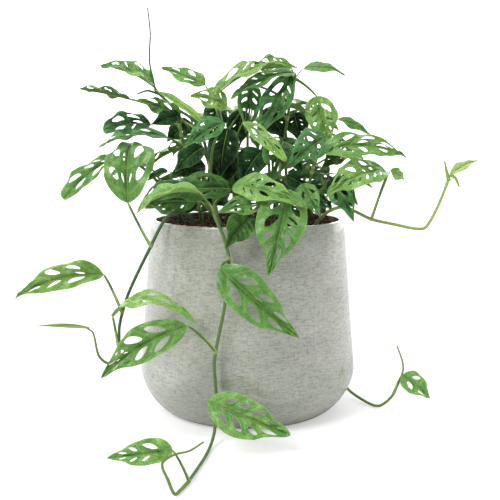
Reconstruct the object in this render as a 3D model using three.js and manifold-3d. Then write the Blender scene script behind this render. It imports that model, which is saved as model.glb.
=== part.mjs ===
// Swiss cheese vine (Monstera adansonii) growing in a tall rounded pot.
// Millimetres, +Z up. The pot stands on z = 0 and the front of the plant faces -Y.
import * as THREE from 'three';
import { mergeVertices } from 'three/addons/utils/BufferGeometryUtils.js';
import ManifoldModule from 'manifold-3d';

const wasm = await ManifoldModule();
wasm.setup();

// ---- Driving dimensions -------------------------------------------------------------------
const POT_HEIGHT = 250;
const POT_RIM_RADIUS = 125;
const POT_BELLY_RADIUS = 140;
const POT_BELLY_HEIGHT = 55;
const POT_FOOT_RADIUS = 97.5;
const POT_WALL = 7;
const POT_FLOOR = 12;
const POT_LIP = 1.5;
const POT_SIDES = 30;
// Powers of the pot's curve: the taper above the belly, then height and reach of its foot.
const POT_CURVE = { taper: 1.05, footHeight: 1.277, footReach: 1.21 };

const GAP = 0.3;
const HOLE_CLEARANCE = 0.9;
const SOIL_BELOW_RIM = 7;
const SOIL_TOP = POT_HEIGHT - SOIL_BELOW_RIM;
const SOIL_UNEVEN = 1.6;
const SOIL_WAVES = { x: 13, y: 11 };
const SOIL_RINGS = [84, 42];
const ROOT_DEPTH = 24;

const STEM_RADIUS = 2.2;
const STEM_SIDES = 5;
const PETIOLE_RADIUS = 1.5;
const PETIOLE_SIDES = 3;
const PETIOLE_STEPS = 2;
const PETIOLE_BOW = 0.12;
const PETIOLE_END = 0.08;
const THINNING = 0.8;
const SHOOT_TIP_RADIUS = 0.6;
// Points that lie closer than this where stalks and blades run together become one.
const FINEST_DETAIL = 0.01;

const BLADE_THICKNESS = 0.9;
const BLADE_FOLD = 24;
const BLADE_CURL = 0.5;
const BLADE_WAVE = 1.6;
const BLADE_SKEW = 0.06;
const OUTLINE_RISE = 0.6;
const WIDEST_AT = 0.36;
const SHOULDER_AT = 0.08;
const MIDRIB_START = 0.09;
const MIDRIB_END = 0.78;
const VEIN_SLANT = 0.16;
const BAY_LENGTH = 38;
const SHORTEST_HOLED = 36;
const HOLE = { near: 0.22, far: 0.82, nearSide: 0.31, farSide: 0.22 };

// ---- Layout of the leafy stems --------------------------------------------------------------
// Each stem has a route from below the soil to its end. Its leaves leave it at a share `at` of
// that route; a blade runs from base to tip, is `width` across, turns its face by `lean`
// degrees from straight up towards the front, and bows by `arch` of its own length.
// A leaf may also state its fold in degrees, how many bays of holes it has on each side, the
// share of its length where it is widest, how far its stalk bows up, and that it is plain, with
// no holes. A stem's `seed` starts the draws that place its inner leaves.
const STEMS = [
  {
    name: 'vine_left',
    route: [[-66, -60, 219], [-67, -62, 244], [-70, -66, 257], [-84, -77, 265], [-99, -88, 257],
      [-117, -97, 223], [-144, -96, 167], [-155, -96, 129], [-156, -96, 98], [-157, -96, 88]],
    leaves: [
      { at: 0.44, base: [-142, -98, 277], tip: [-144, -50, 348], width: 68, lean: 84, arch: 0.2,
        widest: 0.5, bow: -0.05 },
      { at: 0.78, base: [-174, -90, 190], tip: [-281, -96, 161], width: 42, lean: 52,
        arch: 0.15 },
      { at: 0.98, base: [-163, -98, 140], tip: [-56, -152, 140], width: 40, lean: 24, arch: 0.24,
        bays: 3 },
    ],
    shoots: [
      { route: [[-157, -96, 92], [-170, -97, 82], [-181, -98, 92], [-187, -99, 120],
        [-196, -100, 127]], radius: 1.5 },
    ],
    shootLeaves: [
      { base: [-190, -100, 126], tip: [-256, -104, 129], width: 13, lean: 20, arch: 0.04 },
    ],
  },
  {
    name: 'vine_front',
    route: [[-28, -96, 219], [-29, -98, 244], [-36, -118, 262], [-38, -129, 266],
      [-27, -137, 240], [-21, -139, 215], [-26, -145, 162], [-38, -150, 98], [-36, -151, 55],
      [-38, -154, 16], [-42, -172, 4], [-48, -215, 3], [-61, -284, 3]],
    leaves: [
      { at: 0.13, base: [-54, -132, 292], tip: [-127, -140, 268], width: 34, lean: 14, arch: 0.16,
        fold: 42, plain: true },
      { at: 0.26, base: [-31, -157, 208], tip: [59, -166, 129], width: 54, lean: 78, arch: 0.1 },
      { at: 0.5, base: [-68, -172, 144], tip: [-165, -182, 86], width: 44, lean: 66, arch: 0.14 },
      { at: 0.67, base: [-45, -170, 56], tip: [49, -192, 23], width: 50, lean: 72, arch: 0.12,
        widest: 0.42 },
      { at: 0.99, base: [-75, -292, 40], tip: [-141, -302, 36], width: 30, lean: 62, arch: 0.1 },
    ],
    shoots: [
      { route: [[-60, -280, 3], [-67, -304, 3], [-72, -316, 4], [-78, -316, 18], [-84, -313, 34],
        [-73, -310, 42], [-57, -306, 45], [-43, -302, 53]], radius: 1.5 },
    ],
    shootLeaves: [],
  },
  {
    name: 'vine_right',
    route: [[84, -30, 219], [86, -31, 244], [102, -36, 262], [121, -42, 268], [154, -54, 254],
      [185, -54, 247], [209, -52, 242], [222, -50, 243], [239, -40, 269], [254, -30, 303]],
    leaves: [
      { at: 0.435, base: [172, -60, 312], tip: [92, -107, 283], width: 52, lean: 36, arch: 0.16,
        bow: 0.01 },
      { at: 0.435, base: [176, -57, 315], tip: [194, -50, 303], width: 16, lean: 60, arch: 0.1,
        bow: 0.02, plain: true },
      { at: 0.97, base: [255, -30, 308], tip: [291, -24, 326], width: 17, lean: 62, arch: 0.06,
        fold: 46, plain: true },
    ],
    shoots: [
      { route: [[254, -31, 300], [251, -30, 312], [248, -29, 326]], radius: 2.2 },
      { route: [[255, -31, 308], [262, -31, 304], [267, -31, 293]], radius: 1.9 },
    ],
    shootLeaves: [],
  },
  {
    name: 'vine_back_right',
    route: [[66, 66, 219], [67, 68, 244], [78, 82, 262], [96, 101, 254], [104, 108, 215],
      [108, 110, 150], [116, 104, 80], [124, 88, 30], [138, 44, 10], [160, 2, 3], [174, -16, 4],
      [190, -14, 16], [199, -10, 34]],
    leaves: [
      { at: 0.97, base: [203, -12, 44], tip: [238, -24, 16], width: 34, lean: 60, arch: 0.16 },
    ],
    shoots: [
      { route: [[198, -11, 30], [205, -9, 50], [204, -7, 62], [197, -4, 82]], radius: 1.1 },
    ],
    shootLeaves: [],
  },
  {
    name: 'stem_left_high',
    seed: 2520,
    route: [[-40, -6, 219], [-40, -8, 244], [-46, -18, 310], [-63, -28, 371], [-96, -22, 395],
      [-117, -14, 415]],
    leaves: [
      { at: 0.97, base: [-118, -14, 418], tip: [-182, -36, 443], width: 50, lean: 26, arch: 0.09,
        fold: 34, widest: 0.3 },
      { at: 0.62, base: [-150, 0, 403], tip: [-217, 6, 416], width: 38, lean: -12, arch: 0.02 },
      { at: 0.45, base: [-84, -26, 380], tip: [-137, -30, 402], width: 26, lean: 56, arch: 0.08 },
      { at: 0.42, base: [-72, -12, 374], tip: [-102, -20, 349], width: 30, lean: 60, arch: 0.1,
        plain: true },
    ],
    shoots: [
      { route: [[-116, -15, 414], [-124, -6, 450], [-123, -3, 486],
        [-126, -2, 517]], radius: 0.9 },
      { route: [[-112, -17, 409], [-126, -16, 413], [-139, -16, 409]], radius: 1.2 },
    ],
    shootLeaves: [],
  },
  {
    name: 'stem_left_mid',
    route: [[-56, -34, 219], [-57, -36, 244], [-66, -42, 296], [-78, -40, 342], [-86, -36, 372]],
    leaves: [
      { at: 0.98, base: [-119, -50, 371], tip: [-174, -74, 363], width: 32, lean: 60, arch: 0.14,
        widest: 0.55 },
      { at: 0.9, base: [-82, -50, 381], tip: [-117, -62, 370], width: 24, lean: 70, arch: 0.1,
        plain: true },
      { at: 0.3, base: [-52, -56, 321], tip: [-95, -70, 306], width: 36, lean: 60, arch: 0.12,
        plain: true },
      { at: 0.8, base: [-99, -42, 354], tip: [-186, -42, 341], width: 32, lean: 24, arch: 0.14 },
      { at: 0.45, base: [-98, -56, 314], tip: [-123, -60, 302], width: 15, lean: 40, arch: 0.1,
        plain: true },
    ],
    shoots: [],
    shootLeaves: [],
  },
  {
    name: 'stem_left_low',
    route: [[-80, -22, 219], [-81, -24, 244], [-100, -30, 284], [-128, -34, 314],
      [-150, -34, 330]],
    leaves: [
      { at: 0.98, base: [-164, -36, 331], tip: [-226, -62, 279], width: 34, lean: 40, arch: 0.1,
        widest: 0.6 },
      { at: 0.5, base: [-126, -10, 318], tip: [-182, 10, 300], width: 38, lean: 20, arch: 0.12 },
    ],
    shoots: [],
    shootLeaves: [],
  },
  {
    name: 'stem_front_left',
    seed: 1425,
    route: [[-34, -66, 219], [-34, -68, 244], [-44, -72, 300], [-42, -80, 340], [-32, -88, 368]],
    leaves: [
      { at: 0.98, base: [-27, -91, 372], tip: [-73, -110, 343], width: 34, lean: 50, arch: 0.12 },
      { at: 0.96, base: [-54, -84, 372], tip: [-113, -62, 412], width: 15, lean: 46, arch: 0.04,
        fold: 40, plain: true },
      { at: 0.35, base: [-20, -94, 294], tip: [-102, -114, 282], width: 44, lean: 58, arch: 0.1 },
      { at: 0.2, base: [-80, -92, 300], tip: [-124, -104, 281], width: 22, lean: 44, arch: 0.1 },
      { at: 0.6, base: [-54, -64, 343], tip: [-87, -78, 313], width: 32, lean: 70, arch: 0.1,
        plain: true },
    ],
    shoots: [],
    shootLeaves: [],
  },
  {
    name: 'stem_front_centre',
    route: [[6, -88, 219], [6, -89, 244], [4, -96, 272], [-4, -101, 292]],
    leaves: [
      { at: 0.98, base: [-16, -108, 299], tip: [66, -147, 276], width: 42, lean: 50, arch: 0.12,
        bays: 3 },
      { at: 0.6, base: [22, -116, 280], tip: [-34, -138, 270], width: 32, lean: 62, arch: 0.1 },
      { at: 0.4, base: [6, -130, 266], tip: [-26, -156, 230], width: 36, lean: 84, arch: 0.08,
        plain: true },
    ],
    shoots: [],
    shootLeaves: [],
  },
  {
    name: 'stem_front_right',
    route: [[40, -76, 219], [41, -78, 244], [44, -90, 274], [48, -104, 290]],
    leaves: [
      { at: 0.98, base: [51, -120, 294], tip: [24, -170, 199], width: 60, lean: 74, arch: 0.06,
        bays: 4 },
      { at: 0.7, base: [66, -92, 300], tip: [86, -112, 262], width: 26, lean: 62, arch: 0.1 },
    ],
    shoots: [],
    shootLeaves: [],
  },
  {
    name: 'stem_centre',
    seed: 418,
    route: [[-12, -30, 219], [-13, -32, 244], [-20, -42, 310], [-32, -46, 370], [-38, -46, 396]],
    leaves: [
      { at: 0.98, base: [-42, -44, 403], tip: [62, -40, 440], width: 48, lean: 26, arch: 0.13,
        fold: 34 },
      { at: 0.99, base: [-25, -52, 392], tip: [-69, -64, 405], width: 32, lean: 60, arch: 0.12 },
      { at: 0.8, base: [-36, -8, 394], tip: [-48, -22, 354], width: 34, lean: 70, arch: 0.1,
        plain: true },
      { at: 0.5, base: [-14, -46, 332], tip: [-50, -62, 298], width: 40, lean: 76, arch: 0.1,
        plain: true },
      { at: 0.35, base: [18, -52, 339], tip: [-9, -70, 296], width: 40, lean: 80, arch: 0.1,
        plain: true },
      { at: 0.85, base: [-53, -18, 420], tip: [-109, -10, 442], width: 28, lean: 56, arch: 0.06 },
      { at: 0.7, base: [-24, -54, 366], tip: [-32, -72, 306], width: 44, lean: 86, arch: 0.08,
        plain: true },
      { at: 0.75, base: [-6, -14, 389], tip: [-13, -34, 335], width: 32, lean: 78, arch: 0.1,
        plain: true },
      { at: 0.6, base: [-5, -84, 373], tip: [45, -118, 327], width: 22, lean: 46, arch: 0.12,
        bays: 2, widest: 0.55 },
    ],
    shoots: [],
    shootLeaves: [],
  },
  {
    name: 'stem_right_high',
    seed: 2365,
    route: [[30, -30, 219], [31, -31, 244], [42, -34, 320], [52, -28, 390], [60, -20, 430]],
    leaves: [
      { at: 0.97, base: [53, -31, 432], tip: [14, -62, 361], width: 38, lean: 84, arch: 0.08,
        widest: 0.5 },
      { at: 0.98, base: [60, -30, 434], tip: [-21, -62, 400], width: 30, lean: 22, arch: 0.1 },
      { at: 0.85, base: [3, -20, 421], tip: [-2, -56, 359], width: 34, lean: 80, arch: 0.1 },
      { at: 0.75, base: [24, -4, 392], tip: [51, -24, 349], width: 38, lean: 74, arch: 0.1,
        plain: true },
      { at: 0.4, base: [43, -46, 352], tip: [67, -66, 311], width: 38, lean: 76, arch: 0.1,
        plain: true },
      { at: 0.99, base: [70, -14, 440], tip: [123, -24, 431], width: 18, lean: 50, arch: 0.16,
        plain: true },
      { at: 0.98, base: [56, -4, 442], tip: [8, 4, 444], width: 30, lean: 62, arch: 0.1,
        widest: 0.5 },
      { at: 0.99, base: [87, -22, 406], tip: [100, -46, 350], width: 42, lean: 84, arch: 0.08,
        widest: 0.5 },
      { at: 0.5, base: [44, -62, 350], tip: [30, -92, 300], width: 38, lean: 74, arch: 0.1 },
    ],
    shoots: [],
    shootLeaves: [],
  },
  {
    name: 'stem_right_mid',
    route: [[62, -52, 219], [63, -54, 244], [74, -62, 290], [82, -72, 330]],
    leaves: [
      { at: 0.98, base: [86, -80, 338], tip: [194, -72, 330], width: 42, lean: 46, arch: 0.12 },
      { at: 0.3, base: [102, -58, 303], tip: [128, -72, 270], width: 36, lean: 62, arch: 0.1,
        plain: true },
      { at: 0.85, base: [98, -54, 356], tip: [46, -102, 318], width: 44, lean: 58, arch: 0.12 },
      { at: 0.5, base: [103, -67, 297], tip: [128, -92, 254], width: 30, lean: 60, arch: 0.12 },
      { at: 0.9, base: [120, -42, 334], tip: [90, -66, 317], width: 26, lean: 60, arch: 0.12,
        plain: true },
    ],
    shoots: [],
    shootLeaves: [],
  },
  {
    name: 'stem_right_back',
    seed: 47,
    route: [[60, -2, 219], [61, -2, 244], [76, 0, 310], [92, 2, 356], [108, 4, 374]],
    leaves: [
      { at: 0.98, base: [116, 4, 378], tip: [160, -4, 355], width: 16, lean: 40, arch: 0.1,
        plain: true },
      { at: 0.75, base: [104, -26, 334], tip: [146, -34, 326], width: 30, lean: 30, arch: 0.12 },
      { at: 0.4, base: [108, -2, 300], tip: [160, -12, 290], width: 38, lean: 20, arch: 0.14 },
      { at: 0.6, base: [92, 22, 352], tip: [140, 40, 330], width: 38, lean: 20, arch: 0.14 },
      { at: 0.7, base: [60, 4, 386], tip: [70, -16, 344], width: 34, lean: 76, arch: 0.1,
        plain: true },
    ],
    shoots: [],
    shootLeaves: [],
  },
];

// Inner leaves, low on a stem and turned every way. Pairs are [least, spread] of a seeded draw.
const INNER_LEAVES = 1;
const INNER = {
  along: [0.3, 0.6],
  out: [14, 16],
  length: [58, 20],
  lift: [8, 14],
  drop: [4, 50],
  width: [44, 10],
  lean: 70,
  arch: 0.12,
};

// Stems that fill the rear half, set around the pot by rule: `ring` is the first one's azimuth
// and the step to the next, `route` is [radius, height], and the `each` values are added for
// every further leaf up the stem.
const REAR_STEMS = 5;
const REAR_LEAVES = 3;
const REAR_INNER_LEAVES = 1;
const REAR_SEED = 20417;
const REAR_INNER_SEEDS = [777, 3889, 353, 901, 3262];
const REAR = {
  ring: [32, 29],
  route: [[58, 219], [59, 244], [60, 310], [52, 350], [42, 386]],
  at: 0.45,
  atEach: 0.24,
  aside: [8, 3],
  tipAside: 10,
  height: [298, 5],
  heightEach: 39,
  oddStemHigher: 13,
  near: 84,
  nearEach: -17,
  length: [66, 8],
  tipDrop: -36,
  tipDropEach: 10,
  width: [50, 8],
  lean: 34,
  arch: 0.13,
};

// ---- Small helpers --------------------------------------------------------------------------
const radians = THREE.MathUtils.degToRad;
const vector = ([x, y, z]) => new THREE.Vector3(x, y, z);

// Park-Miller generator, values from 0 to 1.
const DRAW_FACTOR = 16807;
const DRAW_MODULUS = 2147483647;

function seededDraws(seed) {
  let state = seed;
  return () => {
    state = (state * DRAW_FACTOR) % DRAW_MODULUS;
    return state / DRAW_MODULUS;
  };
}

const drawn = ([least, spread], draw) => least + spread * draw();

// A closed solid from shared points and triangles; the faces are turned outward if needed.
function solidFrom(points, triangles) {
  const build = (faces) => new wasm.Manifold(new wasm.Mesh({
    numProp: 3,
    vertProperties: new Float32Array(points.flatMap((p) => [p.x, p.y, p.z])),
    triVerts: new Uint32Array(faces.flat()),
  }));
  const solid = build(triangles);
  if (solid.volume() > 0) return solid;
  return build(triangles.map(([a, b, c]) => [a, c, b]));
}

function namedMesh(name, solid, { color, roughness }) {
  const mesh = solid.getMesh();
  const geometry = new THREE.BufferGeometry();
  geometry.setAttribute('position', new THREE.BufferAttribute(new Float32Array(mesh.vertProperties), 3));
  geometry.setIndex(new THREE.BufferAttribute(new Uint32Array(mesh.triVerts), 1));
  geometry.computeVertexNormals();
  const material = new THREE.MeshStandardMaterial({ color, roughness, metalness: 0 });
  const result = new THREE.Mesh(geometry, material);
  result.name = name;
  return result;
}

// A round solid turned about Z from a profile of [radius, height] that starts and ends on it.
function turned(profile, sides) {
  const outline = profile.map(([radius, height]) => new THREE.Vector2(radius, height));
  const lathe = new THREE.LatheGeometry(outline, sides).rotateX(Math.PI / 2);
  lathe.deleteAttribute('uv');
  lathe.deleteAttribute('normal');
  const welded = mergeVertices(lathe, 1e-3);
  const position = welded.getAttribute('position');
  const points = [];
  for (let i = 0; i < position.count; i += 1) {
    points.push(new THREE.Vector3().fromBufferAttribute(position, i));
  }
  const index = Array.from(welded.getIndex().array);
  const triangles = [];
  for (let i = 0; i < index.length; i += 3) {
    const [a, b, c] = index.slice(i, i + 3);
    if (a !== b && b !== c && c !== a) triangles.push([a, b, c]);
  }
  return { points, triangles };
}

// A closed round tube through `centres`, thinning evenly from `radius` to `endRadius`.
function tube(centres, sides, radius, endRadius = radius) {
  const last = centres.length - 1;
  const points = [];
  const triangles = [];
  const normal = new THREE.Vector3(1, 0.2, 0.1);
  for (let i = 0; i <= last; i += 1) {
    const ahead = centres[Math.min(i + 1, last)];
    const behind = centres[Math.max(i - 1, 0)];
    const tangent = ahead.clone().sub(behind).normalize();
    normal.addScaledVector(tangent, -normal.dot(tangent)).normalize();
    const binormal = tangent.clone().cross(normal);
    const size = THREE.MathUtils.lerp(radius, endRadius, i / last);
    for (let k = 0; k < sides; k += 1) {
      const angle = (2 * Math.PI * k) / sides;
      points.push(centres[i].clone()
        .addScaledVector(normal, size * Math.cos(angle))
        .addScaledVector(binormal, size * Math.sin(angle)));
    }
  }
  const corner = (ring, side) => ring * sides + (side % sides);
  for (let i = 0; i < last; i += 1) {
    for (let k = 0; k < sides; k += 1) {
      triangles.push([corner(i, k), corner(i, k + 1), corner(i + 1, k + 1)]);
      triangles.push([corner(i, k), corner(i + 1, k + 1), corner(i + 1, k)]);
    }
  }
  for (let k = 1; k < sides - 1; k += 1) {
    triangles.push([corner(0, 0), corner(0, k + 1), corner(0, k)]);
    triangles.push([corner(last, 0), corner(last, k), corner(last, k + 1)]);
  }
  return solidFrom(points, triangles);
}

// Point at a share of the length of the line through `centres`.
function pointAlong(centres, share) {
  const lengths = centres.slice(1).map((centre, i) => centre.distanceTo(centres[i]));
  let left = share * lengths.reduce((sum, length) => sum + length, 0);
  for (let i = 0; i < lengths.length; i += 1) {
    if (left <= lengths[i]) return centres[i].clone().lerp(centres[i + 1], left / lengths[i]);
    left -= lengths[i];
  }
  return centres[centres.length - 1].clone();
}

// ---- Pot and soil ---------------------------------------------------------------------------
// Outer radius at a height: a rounded foot, the belly, then a slow taper to the rim.
function potRadius(height) {
  if (height >= POT_BELLY_HEIGHT) {
    const share = (height - POT_BELLY_HEIGHT) / (POT_HEIGHT - POT_BELLY_HEIGHT);
    return POT_BELLY_RADIUS - (POT_BELLY_RADIUS - POT_RIM_RADIUS) * share ** POT_CURVE.taper;
  }
  const turn = Math.acos((1 - height / POT_BELLY_HEIGHT) ** (1 / POT_CURVE.footHeight));
  const reach = Math.sin(turn) ** POT_CURVE.footReach;
  return POT_FOOT_RADIUS + (POT_BELLY_RADIUS - POT_FOOT_RADIUS) * reach;
}

function pot() {
  const outside = [0, 2, 8, 20, 36, POT_BELLY_HEIGHT, 120, 190, POT_HEIGHT - POT_LIP];
  const inside = [POT_HEIGHT - POT_LIP, 60, 30, POT_FLOOR];
  const rim = [POT_RIM_RADIUS - POT_LIP, POT_RIM_RADIUS - POT_WALL + POT_LIP];
  const profile = [
    [0, 0],
    ...outside.map((height) => [potRadius(height), height]),
    ...rim.map((radius) => [radius, POT_HEIGHT]),
    ...inside.map((height) => [potRadius(height) - POT_WALL, height]),
    [0, POT_FLOOR],
  ];
  const { points, triangles } = turned(profile, POT_SIDES);
  return solidFrom(points, triangles);
}

// Soil fills the pot; its top is uneven and has a plain hole for every stem.
function soil(stems) {
  const edge = [POT_FLOOR, 30, 60].map((height) => (
    [potRadius(height) - POT_WALL - GAP, height + (height === POT_FLOOR ? GAP : 0)]));
  const rimEdge = [potRadius(SOIL_TOP) - POT_WALL - GAP, SOIL_TOP];
  const top = SOIL_RINGS.map((radius) => [radius, SOIL_TOP]);
  const profile = [[0, POT_FLOOR + GAP], ...edge, rimEdge, ...top, [0, SOIL_TOP]];
  const { points, triangles } = turned(profile, POT_SIDES);
  for (const point of points) {
    const reach = Math.hypot(point.x, point.y);
    if (point.z > SOIL_TOP - 1 && reach < rimEdge[0] - 1) {
      const swell = Math.sin(point.x / SOIL_WAVES.x) + Math.cos(point.y / SOIL_WAVES.y);
      point.z += SOIL_UNEVEN * swell;
    }
  }
  let body = solidFrom(points, triangles);
  for (const stem of stems) {
    const [x, y] = stem.route[0];
    const [x2, y2] = stem.route[1];
    const below = vector([x, y, SOIL_TOP - ROOT_DEPTH - GAP]);
    const above = vector([2 * x2 - x, 2 * y2 - y, SOIL_TOP + ROOT_DEPTH]);
    body = body.subtract(tube([below, above], STEM_SIDES, STEM_RADIUS + HOLE_CLEARANCE));
  }
  return body.asOriginal().simplify(FINEST_DETAIL);
}

// ---- Leaf blades ----------------------------------------------------------------------------
// Share of the full half width at a share t of the blade's length: round base, drawn-out tip.
function outline(t, widestAt = WIDEST_AT) {
  const fall = (OUTLINE_RISE * (1 - widestAt)) / widestAt;
  const peak = widestAt ** OUTLINE_RISE * (1 - widestAt) ** fall;
  return (t ** OUTLINE_RISE * (1 - t) ** fall) / peak;
}

function bladeFrame(leaf) {
  const base = vector(leaf.base);
  const chord = vector(leaf.tip).sub(base);
  const along = chord.clone().normalize();
  const turn = radians(leaf.turn ?? -90);
  const lean = radians(leaf.lean);
  const facing = new THREE.Vector3(
    Math.sin(lean) * Math.cos(turn),
    Math.sin(lean) * Math.sin(turn),
    Math.cos(lean),
  );
  const across = along.clone().cross(facing).normalize();
  const normal = across.clone().cross(along);
  return { base, along, across, normal, length: chord.length() };
}

// Point of the blade's middle surface at share t of its length, `out` mm from the midrib.
function bladePoint(leaf, frame, t, out) {
  const fold = radians(leaf.fold ?? BLADE_FOLD);
  const reach = Math.abs(out);
  const wave = BLADE_WAVE * Math.sin(9 * t + Math.sign(out)) * (2 * reach / leaf.width) ** 2;
  const curl = BLADE_CURL * reach * reach / leaf.width;
  const rise = 4 * leaf.arch * frame.length * t * (1 - t);
  return frame.base.clone()
    .addScaledVector(frame.along, frame.length * t)
    .addScaledVector(frame.across, out * Math.cos(fold))
    .addScaledVector(frame.normal, rise + reach * Math.sin(fold) - curl + wave);
}

// Flat plan of a blade as [t, w] points, w = -1..1 across at its widest. Side veins bound bays,
// and each bay is a frame of leaf around one hole, set well inside the bay's straight sides.
function bladePlan(bays, holed, widest) {
  const points = [];
  const triangles = [];
  const add = (t, v) => points.push([t, v * outline(t, widest)]) - 1;
  const between = (from, to, share) => from.map((value, k) => (
    THREE.MathUtils.lerp(value, to[k], share)));
  const base = add(0, 0);
  const tip = add(1, 0);
  const ribs = [];
  for (let i = 0; i <= bays; i += 1) {
    ribs.push(add(MIDRIB_START + (MIDRIB_END - MIDRIB_START) * (i / bays), 0));
  }
  for (const side of [-1, 1]) {
    const face = (a, b, c) => triangles.push(side > 0 ? [a, b, c] : [a, c, b]);
    const ends = ribs.map((rib) => add(points[rib][0] + VEIN_SLANT, side));
    const shoulder = add(SHOULDER_AT, side);
    face(base, ribs[0], shoulder);
    face(ribs[0], ends[0], shoulder);
    face(ribs[bays], tip, ends[bays]);
    for (let i = 0; i < bays; i += 1) {
      const corners = [ribs[i], ribs[i + 1], ends[i + 1], ends[i]];
      if (!holed) {
        face(corners[0], corners[1], corners[2]);
        face(corners[0], corners[2], corners[3]);
        continue;
      }
      const place = (along, outward) => {
        const near = between(points[corners[0]], points[corners[1]], along);
        const far = between(points[corners[3]], points[corners[2]], along);
        return points.push(between(near, far, outward)) - 1;
      };
      const hole = [
        place(HOLE.nearSide, HOLE.near),
        place(1 - HOLE.nearSide, HOLE.near),
        place(1 - HOLE.farSide, HOLE.far),
        place(HOLE.farSide, HOLE.far),
      ];
      for (let k = 0; k < 4; k += 1) {
        const next = (k + 1) % 4;
        face(corners[k], corners[next], hole[next]);
        face(corners[k], hole[next], hole[k]);
      }
    }
  }
  return { points, triangles };
}

// Blade of even thickness: both faces share one plan, and walls close its margin and holes.
function blade(leaf) {
  const frame = bladeFrame(leaf);
  const bays = leaf.bays ?? Math.round(THREE.MathUtils.clamp(frame.length / BAY_LENGTH, 2, 4));
  const holed = !leaf.plain && frame.length > SHORTEST_HOLED;
  const plan = bladePlan(bays, holed, leaf.widest);
  const upper = [];
  const lower = [];
  for (const [t, w] of plan.points) {
    const out = (leaf.width / 2) * w * (1 + BLADE_SKEW * Math.sign(w));
    const step = 0.01;
    const lengthwise = bladePoint(leaf, frame, t + step, out)
      .sub(bladePoint(leaf, frame, t - step, out));
    const crosswise = bladePoint(leaf, frame, t, out + 1).sub(bladePoint(leaf, frame, t, out - 1));
    const normal = crosswise.cross(lengthwise).normalize();
    const middle = bladePoint(leaf, frame, t, out);
    upper.push(middle.clone().addScaledVector(normal, BLADE_THICKNESS / 2));
    lower.push(middle.clone().addScaledVector(normal, -BLADE_THICKNESS / 2));
  }
  const shift = upper.length;
  const triangles = [];
  const edges = new Map();
  for (const [a, b, c] of plan.triangles) {
    triangles.push([a, b, c], [a + shift, c + shift, b + shift]);
    for (const [from, to] of [[a, b], [b, c], [c, a]]) {
      if (!edges.delete(`${to}_${from}`)) edges.set(`${from}_${to}`, [from, to]);
    }
  }
  for (const [from, to] of edges.values()) {
    triangles.push([to, from, from + shift], [to, from + shift, to + shift]);
  }
  return solidFrom([...upper, ...lower], triangles);
}

// ---- Leafy stems ----------------------------------------------------------------------------
function petiole(start, leaf) {
  const frame = bladeFrame(leaf);
  const end = bladePoint(leaf, frame, PETIOLE_END, 0);
  const middle = start.clone().lerp(end, 0.5);
  middle.z += (leaf.bow ?? PETIOLE_BOW) * start.distanceTo(end);
  const centres = new THREE.QuadraticBezierCurve3(start, middle, end).getPoints(PETIOLE_STEPS);
  return tube(centres, PETIOLE_SIDES, PETIOLE_RADIUS, PETIOLE_RADIUS * THINNING);
}

function leafyStem(stem) {
  const centres = stem.route.map(vector);
  let body = tube(centres, STEM_SIDES, STEM_RADIUS, STEM_RADIUS * THINNING);
  const inner = stem.seed ? innerLeaves(stem) : [];
  for (const leaf of [...stem.leaves, ...inner]) {
    body = body.add(petiole(pointAlong(centres, leaf.at), leaf)).add(blade(leaf));
  }
  for (const shoot of stem.shoots) {
    body = body.add(tube(shoot.route.map(vector), PETIOLE_SIDES, shoot.radius, SHOOT_TIP_RADIUS));
  }
  for (const leaf of stem.shootLeaves) {
    body = body.add(blade(leaf));
  }
  return body.asOriginal().simplify(FINEST_DETAIL);
}

// Smaller plain leaves low on a stem, placed by the stem's own seed.
function innerLeaves(stem) {
  const centres = stem.route.map(vector);
  const draw = seededDraws(stem.seed);
  const leaves = [];
  for (let k = 0; k < stem.innerCount; k += 1) {
    const at = INNER.along[0] + (INNER.along[1] * (k + draw())) / stem.innerCount;
    const start = pointAlong(centres, at);
    const azimuth = 2 * Math.PI * draw();
    const out = drawn(INNER.out, draw);
    const reach = out + drawn(INNER.length, draw);
    const height = start.z + drawn(INNER.lift, draw);
    const drop = drawn(INNER.drop, draw);
    leaves.push({
      at,
      base: [start.x + out * Math.cos(azimuth), start.y + out * Math.sin(azimuth), height],
      tip: [start.x + reach * Math.cos(azimuth), start.y + reach * Math.sin(azimuth), height - drop],
      width: drawn(INNER.width, draw),
      lean: INNER.lean,
      arch: INNER.arch,
      bays: 1,
      plain: true,
    });
  }
  return leaves;
}

// Stem `index` of the rear half, with leaves to both sides of it in turn.
function rearStem(index, draw) {
  const azimuth = radians(REAR.ring[0] + REAR.ring[1] * index);
  const around = (angle, radius, height) => (
    [radius * Math.cos(angle), radius * Math.sin(angle), height]);
  const higher = index % 2 ? REAR.oddStemHigher : 0;
  const leaves = [];
  for (let k = 0; k < REAR_LEAVES; k += 1) {
    const side = k % 2 ? 1 : -1;
    const angle = azimuth + side * radians(drawn(REAR.aside, draw));
    const height = drawn(REAR.height, draw) + REAR.heightEach * k + higher;
    const near = REAR.near + REAR.nearEach * k;
    const far = near + drawn(REAR.length, draw);
    leaves.push({
      at: REAR.at + REAR.atEach * k,
      base: around(angle, near, height),
      tip: around(angle + side * radians(REAR.tipAside), far, height + REAR.tipDrop + REAR.tipDropEach * k),
      width: drawn(REAR.width, draw),
      lean: REAR.lean,
      arch: REAR.arch,
      turn: THREE.MathUtils.radToDeg(angle),
    });
  }
  return {
    name: `stem_rear_${index + 1}`,
    seed: REAR_INNER_SEEDS[index],
    innerCount: REAR_INNER_LEAVES,
    route: REAR.route.map(([radius, height]) => around(azimuth, radius, height)),
    leaves,
    shoots: [],
    shootLeaves: [],
  };
}

// ---- The plant in its pot -------------------------------------------------------------------
const draw = seededDraws(REAR_SEED);
const allStems = STEMS.map((stem) => ({ innerCount: INNER_LEAVES, ...stem }));
for (let i = 0; i < REAR_STEMS; i += 1) {
  allStems.push(rearStem(i, draw));
}

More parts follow.
